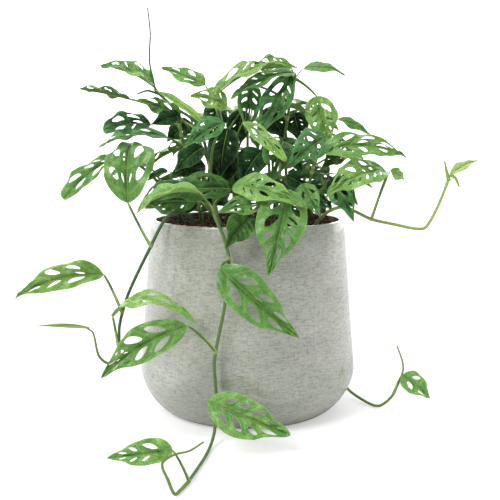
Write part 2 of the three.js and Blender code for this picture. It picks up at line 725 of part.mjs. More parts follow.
const CERAMIC = { color: 0xbcc1b6, roughness: 0.5 };
const SOIL = { color: 0x3a261b, roughness: 0.95 };
const FOLIAGE = { color: 0x4f8a3c, roughness: 0.5 };

const plant = new THREE.Group();
plant.name = 'monstera_adansonii';
plant.add(namedMesh('pot', pot(), CERAMIC));
plant.add(namedMesh('soil', soil(allStems), SOIL));
for (const stem of allStems) {
  plant.add(namedMesh(stem.name, leafyStem(stem), FOLIAGE));
}

export default plant;
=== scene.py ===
"""A Swiss cheese vine (Monstera adansonii) growing in a tall rounded stoneware pot."""
import math
import random

import bmesh
import bpy
from mathutils import Matrix, Vector, kdtree, noise


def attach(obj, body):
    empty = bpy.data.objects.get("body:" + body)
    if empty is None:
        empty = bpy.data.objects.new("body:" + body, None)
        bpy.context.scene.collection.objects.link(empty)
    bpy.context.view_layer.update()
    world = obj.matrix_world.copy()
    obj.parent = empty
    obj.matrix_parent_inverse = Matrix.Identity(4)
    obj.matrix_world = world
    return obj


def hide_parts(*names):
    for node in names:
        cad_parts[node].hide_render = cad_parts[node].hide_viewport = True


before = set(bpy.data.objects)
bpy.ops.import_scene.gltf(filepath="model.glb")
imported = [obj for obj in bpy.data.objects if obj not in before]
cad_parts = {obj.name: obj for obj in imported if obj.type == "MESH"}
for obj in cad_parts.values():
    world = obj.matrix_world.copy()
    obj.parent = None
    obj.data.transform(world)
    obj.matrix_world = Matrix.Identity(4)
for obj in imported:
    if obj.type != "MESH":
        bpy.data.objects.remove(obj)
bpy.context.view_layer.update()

# Lengths below are in millimetres, in the frame of the CAD; a piece is scaled once, at its end.
MM = 0.001
WELD = 0.001
DRAW_FACTOR = 16807
DRAW_MODULUS = 2147483647

# ---- Camera ----
CAMERA_PLACE = (3.24, -1200.0, 361.0)
CAMERA_PITCH = 7.24
CAMERA_LENS = 66.7
SENSOR_WIDTH = 36.0

# ---- Pot ----
POT_HEIGHT = 250.0
POT_RIM_RADIUS = 125.0
POT_BELLY_RADIUS = 140.0
POT_BELLY_HEIGHT = 55.0
POT_FOOT_RADIUS = 97.5
POT_WALL = 7.0
POT_FLOOR = 12.0
POT_LIP = 1.5
POT_TAPER = 1.05
POT_FOOT_HEIGHT_POWER = 1.277
POT_FOOT_REACH_POWER = 1.21
POT_STEPS = 144
POT_LIP_STEPS = 8
POT_SIDE_STEPS = 16
POT_FOOT_HEIGHTS = (0.0, 0.6, 1.6, 3.2, 5.5, 8.5, 12.5, 17.5, 23.5, 30.5, 38.0, 46.0)
POT_INNER_HEIGHTS = (POT_HEIGHT - POT_LIP, 200.0, 140.0, 90.0, 60.0, 45.0, 30.0, 20.0, POT_FLOOR)

# ---- Soil ----
SOIL_TOP = 243.0
SOIL_GAP = 0.3
SOIL_SIDE_HEIGHTS = (POT_FLOOR + SOIL_GAP, 20.0, 30.0, 45.0, 60.0, 140.0, 225.0)
SOIL_STEPS = 180
SOIL_RINGS = 60
SOIL_UNEVEN = 1.6
SOIL_WAVES = (13.0, 11.0)
HEAP_PLACE = (-88, -20)
HEAP_HEIGHT = 3.0
HEAP_SPREAD = 2600
RIM_HEAP_HEIGHT = 4.0
RIM_HEAP_START = 80
RIM_HEAP_WIDTH = 36
# Height, span and layer of the noise.
SOIL_LUMPS = (2.0, 9, 0.5)
SOIL_GRAINS = (1.1, 2.8, 7.5)

CRUMBS = 1900
CRUMB_SEED = 88
CRUMB_MARGIN = 4
CRUMB_SIZES = (0.9, 3.0)
CRUMB_ROUGHNESS = 0.35
CRUMB_LIFT = 0.2
CRUMB_TURN = 6.28
BARK_FROM = 0.8
BARK_SIZE = 1.4
BARK_STRETCH = (1.9, 0.6, 0.35)
PERLITE_FROM = 0.965
PERLITE_SIZES = (0.7, 1.5)
PERLITE_STRETCH = (1.0, 0.85, 0.8)

# ---- Stems and stalks ----
STEM_RADIUS = 2.2
STEM_SIDES = 12
ROUTE_STEP = 3.0
ROUTE_EASE = 0.8
# Where the first corner of a tube's ring points, before it is squared to the path.
TUBE_SIDE = Vector((1.0, 0.2, 0.1))
THINNING = 0.8
JOINT_SWELL = 0.35
JOINT_LENGTH = 2.2
JOINT_PALE = 0.9
PETIOLE_RADIUS = 1.5
PETIOLE_BOW = 0.12
STALK_SIDES = 8
STALK_PLUMP = 1.25
STALK_TAPER = (1.05, 0.72)
STALK_YOUNG = (0.35, 0.9)
# How pale a stalk is where it leaves the stem, and just below its blade.
STALK_PALE = (0.6, 0.35)
STALK_FOOT = 0.06
STALK_STEP = 4
STOUT_LEAF = 36
LEAST_STOUTNESS = 0.35
MIDRIB_TAPER = (0.62, 0.14)
MIDRIB_STOPS = (0.0, 0.03, 0.08, 0.16, 0.28, 0.42, 0.56, 0.7, 0.84, 0.95)
# How pale the midrib is on an old leaf, and how much paler on a fresh one.
MIDRIB_PALE = (0.35, 0.3)
MIDRIB_BELOW = 0.35
MIDRIB_DIP = 0.5
MIDRIB_DIP_FROM = 0.08
SHEATH_SHARE = 0.6
SHEATH_SIDE = Vector((0.0, -0.5, 1.0))
SHEATH_LIFT = 0.9
SHEATH_LIP = 0.35
SHEATH_END = 0.97
SHEATH_END_WIDTH = 0.55
SHEATH_TAPER = (1.25, 0.75)
SHOOT_TIP_RADIUS = 0.6
SHOOT_PLUMP = 1.4
SHOOT_STEP = 2.0
SHOOT_YOUNG = (0.5, 1.0)
SHOOT_PALE = (0.12, 0.75)
ROLL_STEPS = 28
ROLL_GIRTH = 0.2
ROLL_WIDEST = 0.4
ROLL_LEAST = 0.25
ROLL_FLATNESS = 0.8
# Angle where the seam of a rolled leaf starts, and how far it winds, in radians.
ROLL_SEAM = (1.2, 2.2)
SEAM_GIRTH = 0.3
SEAM_LEAST = 0.15
SEAM_SIDES = 6

# ---- Leaf blades: form ----
# Degrees about Z that a leaf leans to unless its row gives a turn.
FRONT = -90.0
BLADE_THICKNESS = 0.5
BLADE_FOLD = 24.0
BLADE_CURL = 0.5
BLADE_WAVE = 1.6
BLADE_WAVES = 9
BLADE_SKEW = 0.06
OUTLINE_RISE = 0.6
WIDEST_AT = 0.36
DRIP_START = 0.66
DRIP_WAIST = 0.24
MIDRIB_START = 0.09
MIDRIB_END = 0.78
VEIN_SLANT = 0.16
BAY_LENGTH = 38.0
BAYS = (2, 4)
PLAIN_BAYS = 6
SHORTEST_HOLED = 36.0
SLIM_LEAF = 24

# ---- Leaf blades: relief ----
FULL_RELIEF_WIDTH = 50.0
LEAST_RELIEF = 0.25
RELIEF_ENDS = (0.08, 0.15)
GROOVE = 1.2
GROOVE_WIDTH = 0.08
QUILT = 3.4
FLUTTER = 3.0
FLUTTERS = 15
CRUMPLE = 2.8
CRUMPLES = (9, 3.5)
TWIST = 0.3
SWAY = 0.035
LOBES = 0.07
LOBE_TURNS = 7

# ---- Leaf blades: holes ----
# Lines across half of a blade. A hole spans the cells from column 2, or from column 3 where a
# small round hole lies beside the midrib in column 1.
COLUMNS = (0.09, 0.2, 0.33, 0.54, 0.74)
MIDDLE = len(COLUMNS) + 1
BASE_LINE = 0.4
TIP_LINES = (0.4, 0.75)
SMALL_HOLE_COLUMN = 1
HOLE_FIRST = 2
HOLE_LAST = 4
SLIT_LAST = 3
ONE_HOLE = (0.2, 0.8)
TWO_HOLES = (0.14, 0.38, 0.62, 0.86)
TWO_HOLES_SHARE = 0.75
MERGED_SHARE = 0.3
SMALL_HOLE_SHARE = 0.4
SMALL_HOLE_FROM_WIDTH = 30
BLIND_SHARE = 0.07
SLITS_SHARE = 0.3
# A hole's size, seeded lengths, slants and lifts as pairs, and its plumpness.
HOLE_SIZE = 0.86
SLIT_SIZE = 0.66
HOLE_LENGTHS = (0.7, 1.15)
HOLE_SLANTS = (0.4, 0.8)
HOLE_LIFTS = (-0.06, 0.04)
HOLE_HEART = 0.45
HOLE_PLUMP = (0.4, 0.68)
HOLE_ROUND = (0.1, 0.75)

# ---- Leaf blades: thickness and tint ----
BLADE_WELD = 0.02
BLADE_LAYERS = ("tone", "under", "rim", "across", "bay", "dry", "cool")
FRESH_TIP = 0.3
FRESH_TIP_FROM = 0.72
FRESH_RIM = 0.12
DRY_FROM = (0.86, 1.1)
DRY_FADE = 0.06
DRY_RIM = 0.03
SEEDS_PER_STEM = 100

# ---- Studio ----
# Name, direction, strength, spread in degrees, and whether glossy pieces mirror it.
SOFTBOXES = (
    ("key_softbox", (-1.0, -1.1, 1.3), 2.2, 30.0, True),
    ("left_softbox", (-1.7, 0.2, 0.5), 0.8, 50.0, False),
    ("right_softbox", (1.7, -0.1, 0.5), 1.5, 50.0, False),
    ("top_softbox", (0.1, 0.1, 1.8), 0.8, 60.0, True),
)
BACKDROP_DEPTHS = (0.4, 0.6)
BACKDROP_LIGHT = 2.0
ROOM_LIGHT = 0.06
# Half the side of the floor, in metres.
FLOOR_REACH = 6.0


def leaf(at, base, tip, width, lean, arch, tone=0.4, **more):
    """A leaf's row: tone runs from 0, old and deep green, to 1, fresh, and past it, just open."""
    return dict(at=at, base=base, tip=tip, width=width, lean=lean, arch=arch, tone=tone, **more)


# Each stem has a route from below the soil to its end. Its leaves leave it at a share `at` of
# that route; a blade runs from base to tip, is `width` across, turns its face by `lean`
# degrees from straight up towards the front, and bows by `arch` of its own length.
# A row may also give, for the form of its solid: fold, how far its halves rise, in degrees;
# widest, where along it; bow, how high its stalk bows; turn, which way it leans; bays, how many
# lie between its side veins; plain, that it has no holes. For the scene alone: finer, its bays;
# pairs, the share of bays with two holes a side; small, with a small hole beside the midrib;
# open, how wide holes are; slits, the share of bays of a plain leaf that have one; cool, how
# bluish it is.
STEMS = {
    "vine_left": dict(
        route=[(-66, -60, 219), (-67, -62, 244), (-70, -66, 257), (-84, -77, 265),
               (-99, -88, 257), (-117, -97, 223), (-144, -96, 167), (-155, -96, 129),
               (-156, -96, 98), (-157, -96, 88)],
        leaves=[
            leaf(0.44, (-142, -98, 277), (-144, -50, 348), 68, 84, 0.2, 0.5, bow=-0.05,
                 widest=0.5, pairs=0.3, small=0.6, open=0.9),
            leaf(0.78, (-174, -90, 190), (-281, -96, 161), 42, 52, 0.15, 0.62, pairs=0.0,
                 small=0.2),
            leaf(0.98, (-163, -98, 140), (-56, -152, 140), 40, 24, 0.24, 0.85, bays=3, pairs=0.6,
                 open=0.6),
        ],
        shoots=[([(-157, -96, 92), (-170, -97, 82), (-181, -98, 92), (-187, -99, 120),
                  (-196, -100, 127)], 1.5)],
        rolled=[leaf(0, (-190, -100, 126), (-256, -104, 129), 13, 20, 0.04, 0.8)],
    ),
    "vine_front": dict(
        route=[(-28, -96, 219), (-29, -98, 244), (-36, -118, 262), (-38, -129, 266),
               (-27, -137, 240), (-21, -139, 215), (-26, -145, 162), (-38, -150, 98),
               (-36, -151, 55), (-38, -154, 16), (-42, -172, 4), (-48, -215, 3),
               (-61, -284, 3)],
        leaves=[
            leaf(0.13, (-54, -132, 292), (-127, -140, 268), 34, 14, 0.16, 0.85, fold=42,
                 plain=True, slits=0.0),
            leaf(0.26, (-31, -157, 208), (59, -166, 129), 54, 78, 0.1, 0.42, pairs=0.0,
                 open=1.0, cool=0.4),
            leaf(0.5, (-68, -172, 144), (-165, -182, 86), 44, 66, 0.14, 0.5, pairs=0.3, open=1.0),
            leaf(0.67, (-45, -170, 56), (49, -192, 23), 50, 72, 0.12, 0.6, widest=0.42,
                 finer=4, pairs=0.0, small=0.5, open=0.95),
            leaf(0.99, (-75, -292, 40), (-141, -302, 36), 30, 62, 0.1, 0.6, open=0.8),
        ],
        shoots=[([(-60, -280, 3), (-67, -304, 3), (-72, -316, 4), (-78, -316, 18),
                  (-84, -313, 34), (-73, -310, 42), (-57, -306, 45), (-43, -302, 53)], 1.5)],
    ),
    "vine_right": dict(
        route=[(84, -30, 219), (86, -31, 244), (102, -36, 262), (121, -42, 268),
               (154, -54, 254), (185, -54, 247), (209, -52, 242), (222, -50, 243),
               (239, -40, 269), (254, -30, 303)],
        leaves=[
            leaf(0.435, (172, -60, 312), (92, -107, 283), 52, 36, 0.16, 0.7, bow=0.01),
            leaf(0.435, (176, -57, 315), (194, -50, 303), 16, 60, 0.1, 1.15, bow=0.02,
                 plain=True),
            leaf(0.97, (255, -30, 308), (291, -24, 326), 17, 62, 0.06, 1.35, fold=46, plain=True),
        ],
        shoots=[([(254, -31, 300), (251, -30, 312), (248, -29, 326)], 2.2),
                ([(255, -31, 308), (262, -31, 304), (267, -31, 293)], 1.9)],
    ),
    "vine_back_right": dict(
        route=[(66, 66, 219), (67, 68, 244), (78, 82, 262), (96, 101, 254), (104, 108, 215),
               (108, 110, 150), (116, 104, 80), (124, 88, 30), (138, 44, 10), (160, 2, 3),
               (174, -16, 4), (190, -14, 16), (199, -10, 34)],
        leaves=[leaf(0.97, (203, -12, 44), (238, -24, 16), 34, 60, 0.16, 0.62)],
        shoots=[([(198, -11, 30), (205, -9, 50), (204, -7, 62), (197, -4, 82)], 1.1)],
    ),
    "stem_left_high": dict(
        seed=2520,
        route=[(-40, -6, 219), (-40, -8, 244), (-46, -18, 310), (-63, -28, 371),
               (-96, -22, 395), (-117, -14, 415)],
        leaves=[
            leaf(0.97, (-118, -14, 418), (-182, -36, 443), 50, 26, 0.09, 0.62, fold=34, widest=0.3),
            leaf(0.62, (-150, 0, 403), (-217, 6, 416), 38, -12, 0.02, 0.25),
            leaf(0.45, (-84, -26, 380), (-137, -30, 402), 26, 56, 0.08, 0.3),
            leaf(0.42, (-72, -12, 374), (-102, -20, 349), 30, 60, 0.1, 0.1, plain=True),
        ],
        shoots=[([(-116, -15, 414), (-124, -6, 450), (-123, -3, 486), (-126, -2, 517)], 0.9),
                ([(-112, -17, 409), (-126, -16, 413), (-139, -16, 409)], 1.2)],
    ),
    "stem_left_mid": dict(
        route=[(-56, -34, 219), (-57, -36, 244), (-66, -42, 296), (-78, -40, 342),
               (-86, -36, 372)],
        leaves=[
            leaf(0.98, (-119, -50, 371), (-174, -74, 363), 32, 60, 0.14, 0.2, widest=0.55),
            leaf(0.9, (-82, -50, 381), (-117, -62, 370), 24, 70, 0.1, 0.05, plain=True),
            leaf(0.3, (-52, -56, 321), (-95, -70, 306), 36, 60, 0.12, 0.12, plain=True),
            leaf(0.8, (-99, -42, 354), (-186, -42, 341), 32, 24, 0.14, 0.45),
            leaf(0.45, (-98, -56, 314), (-123, -60, 302), 15, 40, 0.1, 0.2, plain=True),
        ],
    ),
    "stem_left_low": dict(
        route=[(-80, -22, 219), (-81, -24, 244), (-100, -30, 284), (-128, -34, 314),
               (-150, -34, 330)],
        leaves=[
            leaf(0.98, (-164, -36, 331), (-226, -62, 279), 34, 40, 0.1, 0.55, widest=0.6),
            leaf(0.5, (-126, -10, 318), (-182, 10, 300), 38, 20, 0.12, 0.3),
        ],
    ),
    "stem_front_left": dict(
        seed=1425,
        route=[(-34, -66, 219), (-34, -68, 244), (-44, -72, 300), (-42, -80, 340),
               (-32, -88, 368)],
        leaves=[
            leaf(0.98, (-27, -91, 372), (-73, -110, 343), 34, 50, 0.12, 0.32),
            leaf(0.96, (-54, -84, 372), (-113, -62, 412), 15, 46, 0.04, 0.85, fold=40, plain=True),
            leaf(0.35, (-20, -94, 294), (-102, -114, 282), 44, 58, 0.1, 0.2, pairs=0.3, open=0.8),
            leaf(0.2, (-80, -92, 300), (-124, -104, 281), 22, 44, 0.1, 0.15),
            leaf(0.6, (-54, -64, 343), (-87, -78, 313), 32, 70, 0.1, 0.08, plain=True),
        ],
    ),
    "stem_front_centre": dict(
        route=[(6, -88, 219), (6, -89, 244), (4, -96, 272), (-4, -101, 292)],
        leaves=[
            leaf(0.98, (-16, -108, 299), (66, -147, 276), 42, 50, 0.12, 0.7, bays=3, pairs=0.3,
                 open=0.8),
            leaf(0.6, (22, -116, 280), (-34, -138, 270), 32, 62, 0.1, 0.5, pairs=0.0, open=0.75),
            leaf(0.4, (6, -130, 266), (-26, -156, 230), 36, 84, 0.08, 0.18, plain=True, slits=0.0),
        ],
    ),
    "stem_front_right": dict(
        route=[(40, -76, 219), (41, -78, 244), (44, -90, 274), (48, -104, 290)],
        leaves=[
            leaf(0.98, (51, -120, 294), (24, -170, 199), 60, 74, 0.06, 0.42, bays=4, pairs=0.4,
                 open=0.9, cool=0.45),
            leaf(0.7, (66, -92, 300), (86, -112, 262), 26, 62, 0.1, 0.5),
        ],
    ),
    "stem_centre": dict(
        seed=418,
        route=[(-12, -30, 219), (-13, -32, 244), (-20, -42, 310), (-32, -46, 370),
               (-38, -46, 396)],
        leaves=[
            leaf(0.98, (-42, -44, 403), (62, -40, 440), 48, 26, 0.13, 0.6, fold=34),
            leaf(0.99, (-25, -52, 392), (-69, -64, 405), 32, 60, 0.12, 0.72),
            leaf(0.8, (-36, -8, 394), (-48, -22, 354), 34, 70, 0.1, 0.1, plain=True),
            leaf(0.5, (-14, -46, 332), (-50, -62, 298), 40, 76, 0.1, 0.08, plain=True),
            leaf(0.35, (18, -52, 339), (-9, -70, 296), 40, 80, 0.1, 0.1, plain=True),
            leaf(0.85, (-53, -18, 420), (-109, -10, 442), 28, 56, 0.06, 0.62, pairs=0.0, open=0.7),
            leaf(0.7, (-24, -54, 366), (-32, -72, 306), 44, 86, 0.08, 0.06, plain=True),
            leaf(0.75, (-6, -14, 389), (-13, -34, 335), 32, 78, 0.1, 0.06, plain=True),
            leaf(0.6, (-5, -84, 373), (45, -118, 327), 22, 46, 0.12, 0.72, widest=0.55, bays=2),
        ],
    ),
    "stem_right_high": dict(
        seed=2365,
        route=[(30, -30, 219), (31, -31, 244), (42, -34, 320), (52, -28, 390),
               (60, -20, 430)],
        leaves=[
            leaf(0.97, (53, -31, 432), (14, -62, 361), 38, 84, 0.08, 0.25, widest=0.5),
            leaf(0.98, (60, -30, 434), (-21, -62, 400), 30, 22, 0.1, 0.35),
            leaf(0.85, (3, -20, 421), (-2, -56, 359), 34, 80, 0.1, 0.3),
            leaf(0.75, (24, -4, 392), (51, -24, 349), 38, 74, 0.1, 0.08, plain=True),
            leaf(0.4, (43, -46, 352), (67, -66, 311), 38, 76, 0.1, 0.1, plain=True),
            leaf(0.99, (70, -14, 440), (123, -24, 431), 18, 50, 0.16, 0.5, plain=True),
            leaf(0.98, (56, -4, 442), (8, 4, 444), 30, 62, 0.1, 0.55, widest=0.5),
            leaf(0.99, (87, -22, 406), (100, -46, 350), 42, 84, 0.08, 0.62, widest=0.5),
            leaf(0.5, (44, -62, 350), (30, -92, 300), 38, 74, 0.1, 0.2),
        ],
    ),
    "stem_right_mid": dict(
        route=[(62, -52, 219), (63, -54, 244), (74, -62, 290), (82, -72, 330)],
        leaves=[
            leaf(0.98, (86, -80, 338), (194, -72, 330), 42, 46, 0.12, 0.55),
            leaf(0.3, (102, -58, 303), (128, -72, 270), 36, 62, 0.1, 0.1, plain=True),
            leaf(0.85, (98, -54, 356), (46, -102, 318), 44, 58, 0.12, 0.3),
            leaf(0.5, (103, -67, 297), (128, -92, 254), 30, 60, 0.12, 0.35),
            leaf(0.9, (120, -42, 334), (90, -66, 317), 26, 60, 0.12, 0.15, plain=True),
        ],
    ),
    "stem_right_back": dict(
        seed=47,
        route=[(60, -2, 219), (61, -2, 244), (76, 0, 310), (92, 2, 356), (108, 4, 374)],
        leaves=[
            leaf(0.98, (116, 4, 378), (160, -4, 355), 16, 40, 0.1, 0.45, plain=True),
            leaf(0.75, (104, -26, 334), (146, -34, 326), 30, 30, 0.12, 0.4),
            leaf(0.4, (108, -2, 300), (160, -12, 290), 38, 20, 0.14, 0.3),
            leaf(0.6, (92, 22, 352), (140, 40, 330), 38, 20, 0.14, 0.3),
            leaf(0.7, (60, 4, 386), (70, -16, 344), 34, 76, 0.1, 0.08, plain=True),
        ],
    ),
}

# Looks of the stems: how young, from bluish to yellow green, and how pale.
STEM_LOOKS = dict(vine_left=(0.0, 0.02), vine_front=(0.25, 0.12), vine_right=(1.0, 0.75),
                  vine_back_right=(0.8, 0.2), stem_left_high=(-0.6, -0.2))
OTHER_STEM_LOOK = (0.5, 0.0)

# Inner leaves, low on a stem and turned every way. Pairs are (least, spread) of a seeded draw.
INNER_LEAVES = 1
INNER = dict(along=(0.3, 0.6), out=(14, 16), length=(58, 20), lift=(8, 14), drop=(4, 50),
             width=(44, 10), lean=70, arch=0.12, tone=(0.05, 0.2), bays=3)

# Stems of the rear half, set around the pot by rule, as in the CAD.
REAR_STEMS = 5
REAR_LEAVES = 3
REAR_INNER_LEAVES = 1
REAR_SEED = 20417
REAR_INNER_SEEDS = (777, 3889, 353, 901, 3262)
REAR = dict(ring=(32, 29), route=[(58, 219), (59, 244), (60, 310), (52, 350), (42, 386)],
            at=0.45, at_each=0.24, aside=(8, 3), tip_aside=10, height=(298, 5),
            height_each=39, odd_stem_higher=13, near=84, near_each=-17, length=(66, 8),
            tip_drop=-36, tip_drop_each=10, width=(50, 8), lean=34, arch=0.13,
            tone=0.2, tone_each=0.15, tone_each_stem=0.04)


# ---- Small helpers ----
def seeded_draws(seed):
    """Park-Miller generator, values from 0 to 1, as the CAD draws them."""
    state = [seed]

    def draw():
        state[0] = state[0] * DRAW_FACTOR % DRAW_MODULUS
        return state[0] / DRAW_MODULUS
    return draw


def drawn(pair, draw):
    """A seeded value of a pair (least, spread)."""
    return pair[0] + pair[1] * draw()


def mix(a, b, share):
    return a + (b - a) * share


def clamp(value, low=0.0, high=1.0):
    return max(low, min(high, value))


def point_along(points, share):
    """Point at a share of the length of the line through points."""
    lengths = [(b - a).length for a, b in zip(points, points[1:])]
    left = share * sum(lengths)
    for i, length in enumerate(lengths):
        if left <= length:
            return points[i].lerp(points[i + 1], left / length)
        left -= length
    return points[-1].copy()


def tangent_at(path, i):
    """Direction of a path at its point i."""
    return (path[min(i + 1, len(path) - 1)] - path[max(i - 1, 0)]).normalized()


def square_to(tangent, direction):
    """The direction, turned until it stands square to the tangent."""
    return (direction - tangent * direction.dot(tangent)).normalized()


def around(angle, radius, height):
    """Point at an angle and a radius about Z."""
    return Vector((radius * math.cos(angle), radius * math.sin(angle), height))


def flat_grid(bm, us, vs):
    """A grid of cells whose lines lie at us and vs; gives its vertices by (i, j)."""
    rows = len(us) - 1
    columns = len(vs) - 1
    made = bmesh.ops.create_grid(bm, x_segments=rows, y_segments=columns, size=0.5)
    table = {}
    for vert in made["verts"]:
        i = round((vert.co.x + 0.5) * rows)
        j = round((vert.co.y + 0.5) * columns)
        vert.co = (us[i], vs[j], 0.0)
        table[i, j] = vert
    return table


def smooth_faces(bm):
    for face in bm.faces:
        face.smooth = True


def mesh_of(name, bm):
    """The mesh of a bmesh, which is then freed."""
    mesh = bpy.data.meshes.new(name)
    bm.to_mesh(mesh)
    bm.free()
    return mesh


def linked(name, data):
    """A new object in the scene."""
    thing = bpy.data.objects.new(name, data)
    bpy.context.scene.collection.objects.link(thing)
    return thing


def join(target, bm):
    """Moves everything of bm, shaded smooth, into the bmesh target."""
    smooth_faces(bm)
    mesh = mesh_of("part", bm)
    target.from_mesh(mesh)
    bpy.data.meshes.remove(mesh)


def piece_from(name, bm, materials, nodes):
    """Makes one object of a bmesh in millimetres, in place of its CAD nodes."""
    bmesh.ops.scale(bm, vec=(MM, MM, MM), verts=bm.verts[:])
    piece = linked(name, mesh_of(name, bm))
    for material in materials:
        piece.data.materials.append(material)
    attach(piece, "root")
    if nodes:
        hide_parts(*nodes)


# ---- Materials ----
class Nodes:
    """A few short calls for building a node tree."""

    def __init__(self, tree):
        self.tree = tree

    def fill(self, node, inputs):
        """Links each input that is given a socket, and sets each that is given a value."""
        for key, value in inputs.items():
            if isinstance(value, bpy.types.NodeSocket):
                self.tree.links.new(value, node.inputs[key])
            else:
                node.inputs[key].default_value = value
        return node

    def add(self, kind, inputs=None, **settings):
        node = self.tree.nodes.new(kind)
        for key, value in settings.items():
            setattr(node, key, value)
        return self.fill(node, inputs or {})

    def math(self, operation, a, b=0.0):
        return self.add("ShaderNodeMath", {0: a, 1: b}, operation=operation).outputs[0]

    def plus(self, a, b):
        return self.math("ADD", a, b)

    def minus(self, a, b):
        return self.math("SUBTRACT", a, b)

    def times(self, a, b):
        return self.math("MULTIPLY", a, b)

    def blend(self, share, a, b):
        """Colour a where share is 0, and b where it is 1."""
        return self.add("ShaderNodeMix", {0: share, 6: a, 7: b}, data_type="RGBA").outputs[2]

    def ramp(self, value, low, high):
        """0 below low, 1 above high, smooth between; also falls where low is above high."""
        return self.add("ShaderNodeMapRange", {0: value, 1: low, 2: high},
                        interpolation_type="SMOOTHSTEP").outputs[0]

    def attribute(self, name):
        return self.add("ShaderNodeAttribute", attribute_name=name).outputs["Fac"]

    def object_coords(self):
        return self.add("ShaderNodeTexCoord").outputs["Object"]

    def noise(self, coords, scale, detail=3.0, rough=0.55, stretch=None):
        if stretch:
            coords = self.add("ShaderNodeMapping", {"Vector": coords, "Scale": stretch}).outputs[0]
        return self.add("ShaderNodeTexNoise", {"Vector": coords, "Scale": scale, "Detail": detail,
                                               "Roughness": rough}).outputs[0]

    def bump(self, height, distance, strength):
        return self.add("ShaderNodeBump", {"Height": height, "Distance": distance,
                                           "Strength": strength}).outputs[0]

    def mottle(self, base, patch_scale, patches, grain_scale, grain):
        """Places the mottle group on a base colour; gives its Color and Height."""
        inputs = {"Color": base, "Patch Scale": patch_scale, "Patches": patches,
                  "Grain Scale": grain_scale, "Grain": grain}
        return self.add("ShaderNodeGroup", inputs, node_tree=MOTTLE).outputs


def new_material(name):
    material = bpy.data.materials.new(name)
    material.use_nodes = True
    tree = material.node_tree
    return material, Nodes(tree), tree.nodes["Principled BSDF"]


def color(red, green, blue):
    return (red, green, blue, 1.0)


def mottle_group():
    """Soft patches and fine grain around a colour, used by every material of the object."""
    tree = bpy.data.node_groups.new("mottle", "ShaderNodeTree")
    face = tree.interface
    face.new_socket("Color", in_out="INPUT", socket_type="NodeSocketColor")
    for name in ("Patch Scale", "Patches", "Grain Scale", "Grain"):
        face.new_socket(name, in_out="INPUT", socket_type="NodeSocketFloat")
    face.new_socket("Color", in_out="OUTPUT", socket_type="NodeSocketColor")
    face.new_socket("Height", in_out="OUTPUT", socket_type="NodeSocketFloat")
    make = Nodes(tree)
    given = make.add("NodeGroupInput").outputs
    coords = make.object_coords()
    patches = make.noise(coords, given["Patch Scale"])
    grain = make.noise(coords, given["Grain Scale"], detail=2.0)
    patch_gain = make.times(make.minus(patches, 0.5), given["Patches"])
    grain_gain = make.times(make.minus(grain, 0.5), given["Grain"])
    gain = make.plus(make.plus(make.times(patch_gain, 2.0), make.times(grain_gain, 2.0)), 1.0)
    scaled = make.add("ShaderNodeVectorMath", {0: given["Color"], 3: gain}, operation="SCALE")
    make.add("NodeGroupOutput", {"Color": scaled.outputs[0], "Height": grain})
    return tree


MOTTLE = mottle_group()

LEAF = dict(
    old=color(0.004, 0.022, 0.006), grown=color(0.14, 0.325, 0.048),
    grown_cool=color(0.09, 0.315, 0.092), fresh=color(0.33, 0.61, 0.135),
    # The second colour on the next line is painted shade: a dark green laid along both sides of the
    # midrib as the shade of its groove.
    net=color(0.01, 0.035, 0.008), painted_midrib_shade=color(0.015, 0.05, 0.012),
    vein_old=color(0.1, 0.22, 0.06), vein_fresh=color(0.46, 0.64, 0.17),
    opening=color(0.62, 0.74, 0.34), dry=color(0.2, 0.12, 0.05),
    under_old=color(0.08, 0.18, 0.05), under_fresh=color(0.3, 0.47, 0.12))
STALK = dict(old=color(0.085, 0.15, 0.075), young=color(0.15, 0.25, 0.05),
             pale=color(0.42, 0.55, 0.17))
STONEWARE = dict(cloudy=color(0.4, 0.42, 0.345), clear=color(0.52, 0.53, 0.465),
                 groove=color(0.14, 0.155, 0.12))
WHITE = color(1.0, 1.0, 1.0)

# Name, dark and light colour, scale of the patches and roughness of the bed and its crumbs.
SOIL_KINDS = (
    ("damp_soil", color(0.011, 0.0045, 0.003), color(0.05, 0.02, 0.011), 70.0, 0.9),
    ("humus_crumb", color(0.032, 0.012, 0.007), color(0.17, 0.07, 0.037), 90.0, 0.85),
    ("bark_chip", color(0.11, 0.045, 0.024), color(0.38, 0.18, 0.1), 90.0, 0.8),
    ("perlite_grain", color(0.5, 0.47, 0.4), color(0.75, 0.72, 0.66), 200.0, 0.8),
)


def leaf_green(make, coords, tone):
    """Deep green of an old leaf to yellow green of a fresh one, drifting in soft patches."""
    drift = make.minus(make.noise(coords, scale=70.0), 0.5)
    drift = make.times(drift, make.plus(make.ramp(tone, 0.0, 1.4), 0.45))
    shade = make.plus(tone, drift)
    grown = make.blend(make.attribute("cool"), LEAF["grown"], LEAF["grown_cool"])
    old = make.blend(make.ramp(shade, 0.0, 0.45), LEAF["old"], grown)
    return make.blend(make.ramp(shade, 0.35, 1.0), old, LEAF["fresh"])


def leaf_veins(make, spread):
    """Mask of the midrib and, weaker, of the side veins, where bay is a whole number."""
    midrib = make.ramp(spread, 0.05, 0.015)
    fraction = make.math("FRACT", make.plus(make.attribute("bay"), 0.5))
    to_vein = make.math("ABSOLUTE", make.minus(fraction, 0.5))
    return make.math("MAXIMUM", midrib, make.times(make.ramp(to_vein, 0.07, 0.01), 0.45))


def leaf_tint(make, green, vein, tone):
    """Lays paler veins and rims, the pallor of an opening leaf and dry tips over the green."""
    pale = make.blend(make.ramp(tone, 0.0, 0.8), LEAF["vein_old"], LEAF["vein_fresh"])
    rim = make.ramp(make.attribute("rim"), 0.5, 1.0)
    veined = make.blend(make.times(vein, 0.6), green, pale)
    edged = make.blend(make.times(rim, 0.7), veined, pale)
    edged = make.blend(make.ramp(tone, 1.0, 1.5), edged, LEAF["opening"])
    return make.blend(make.times(make.attribute("dry"), 0.8), edged, LEAF["dry"])


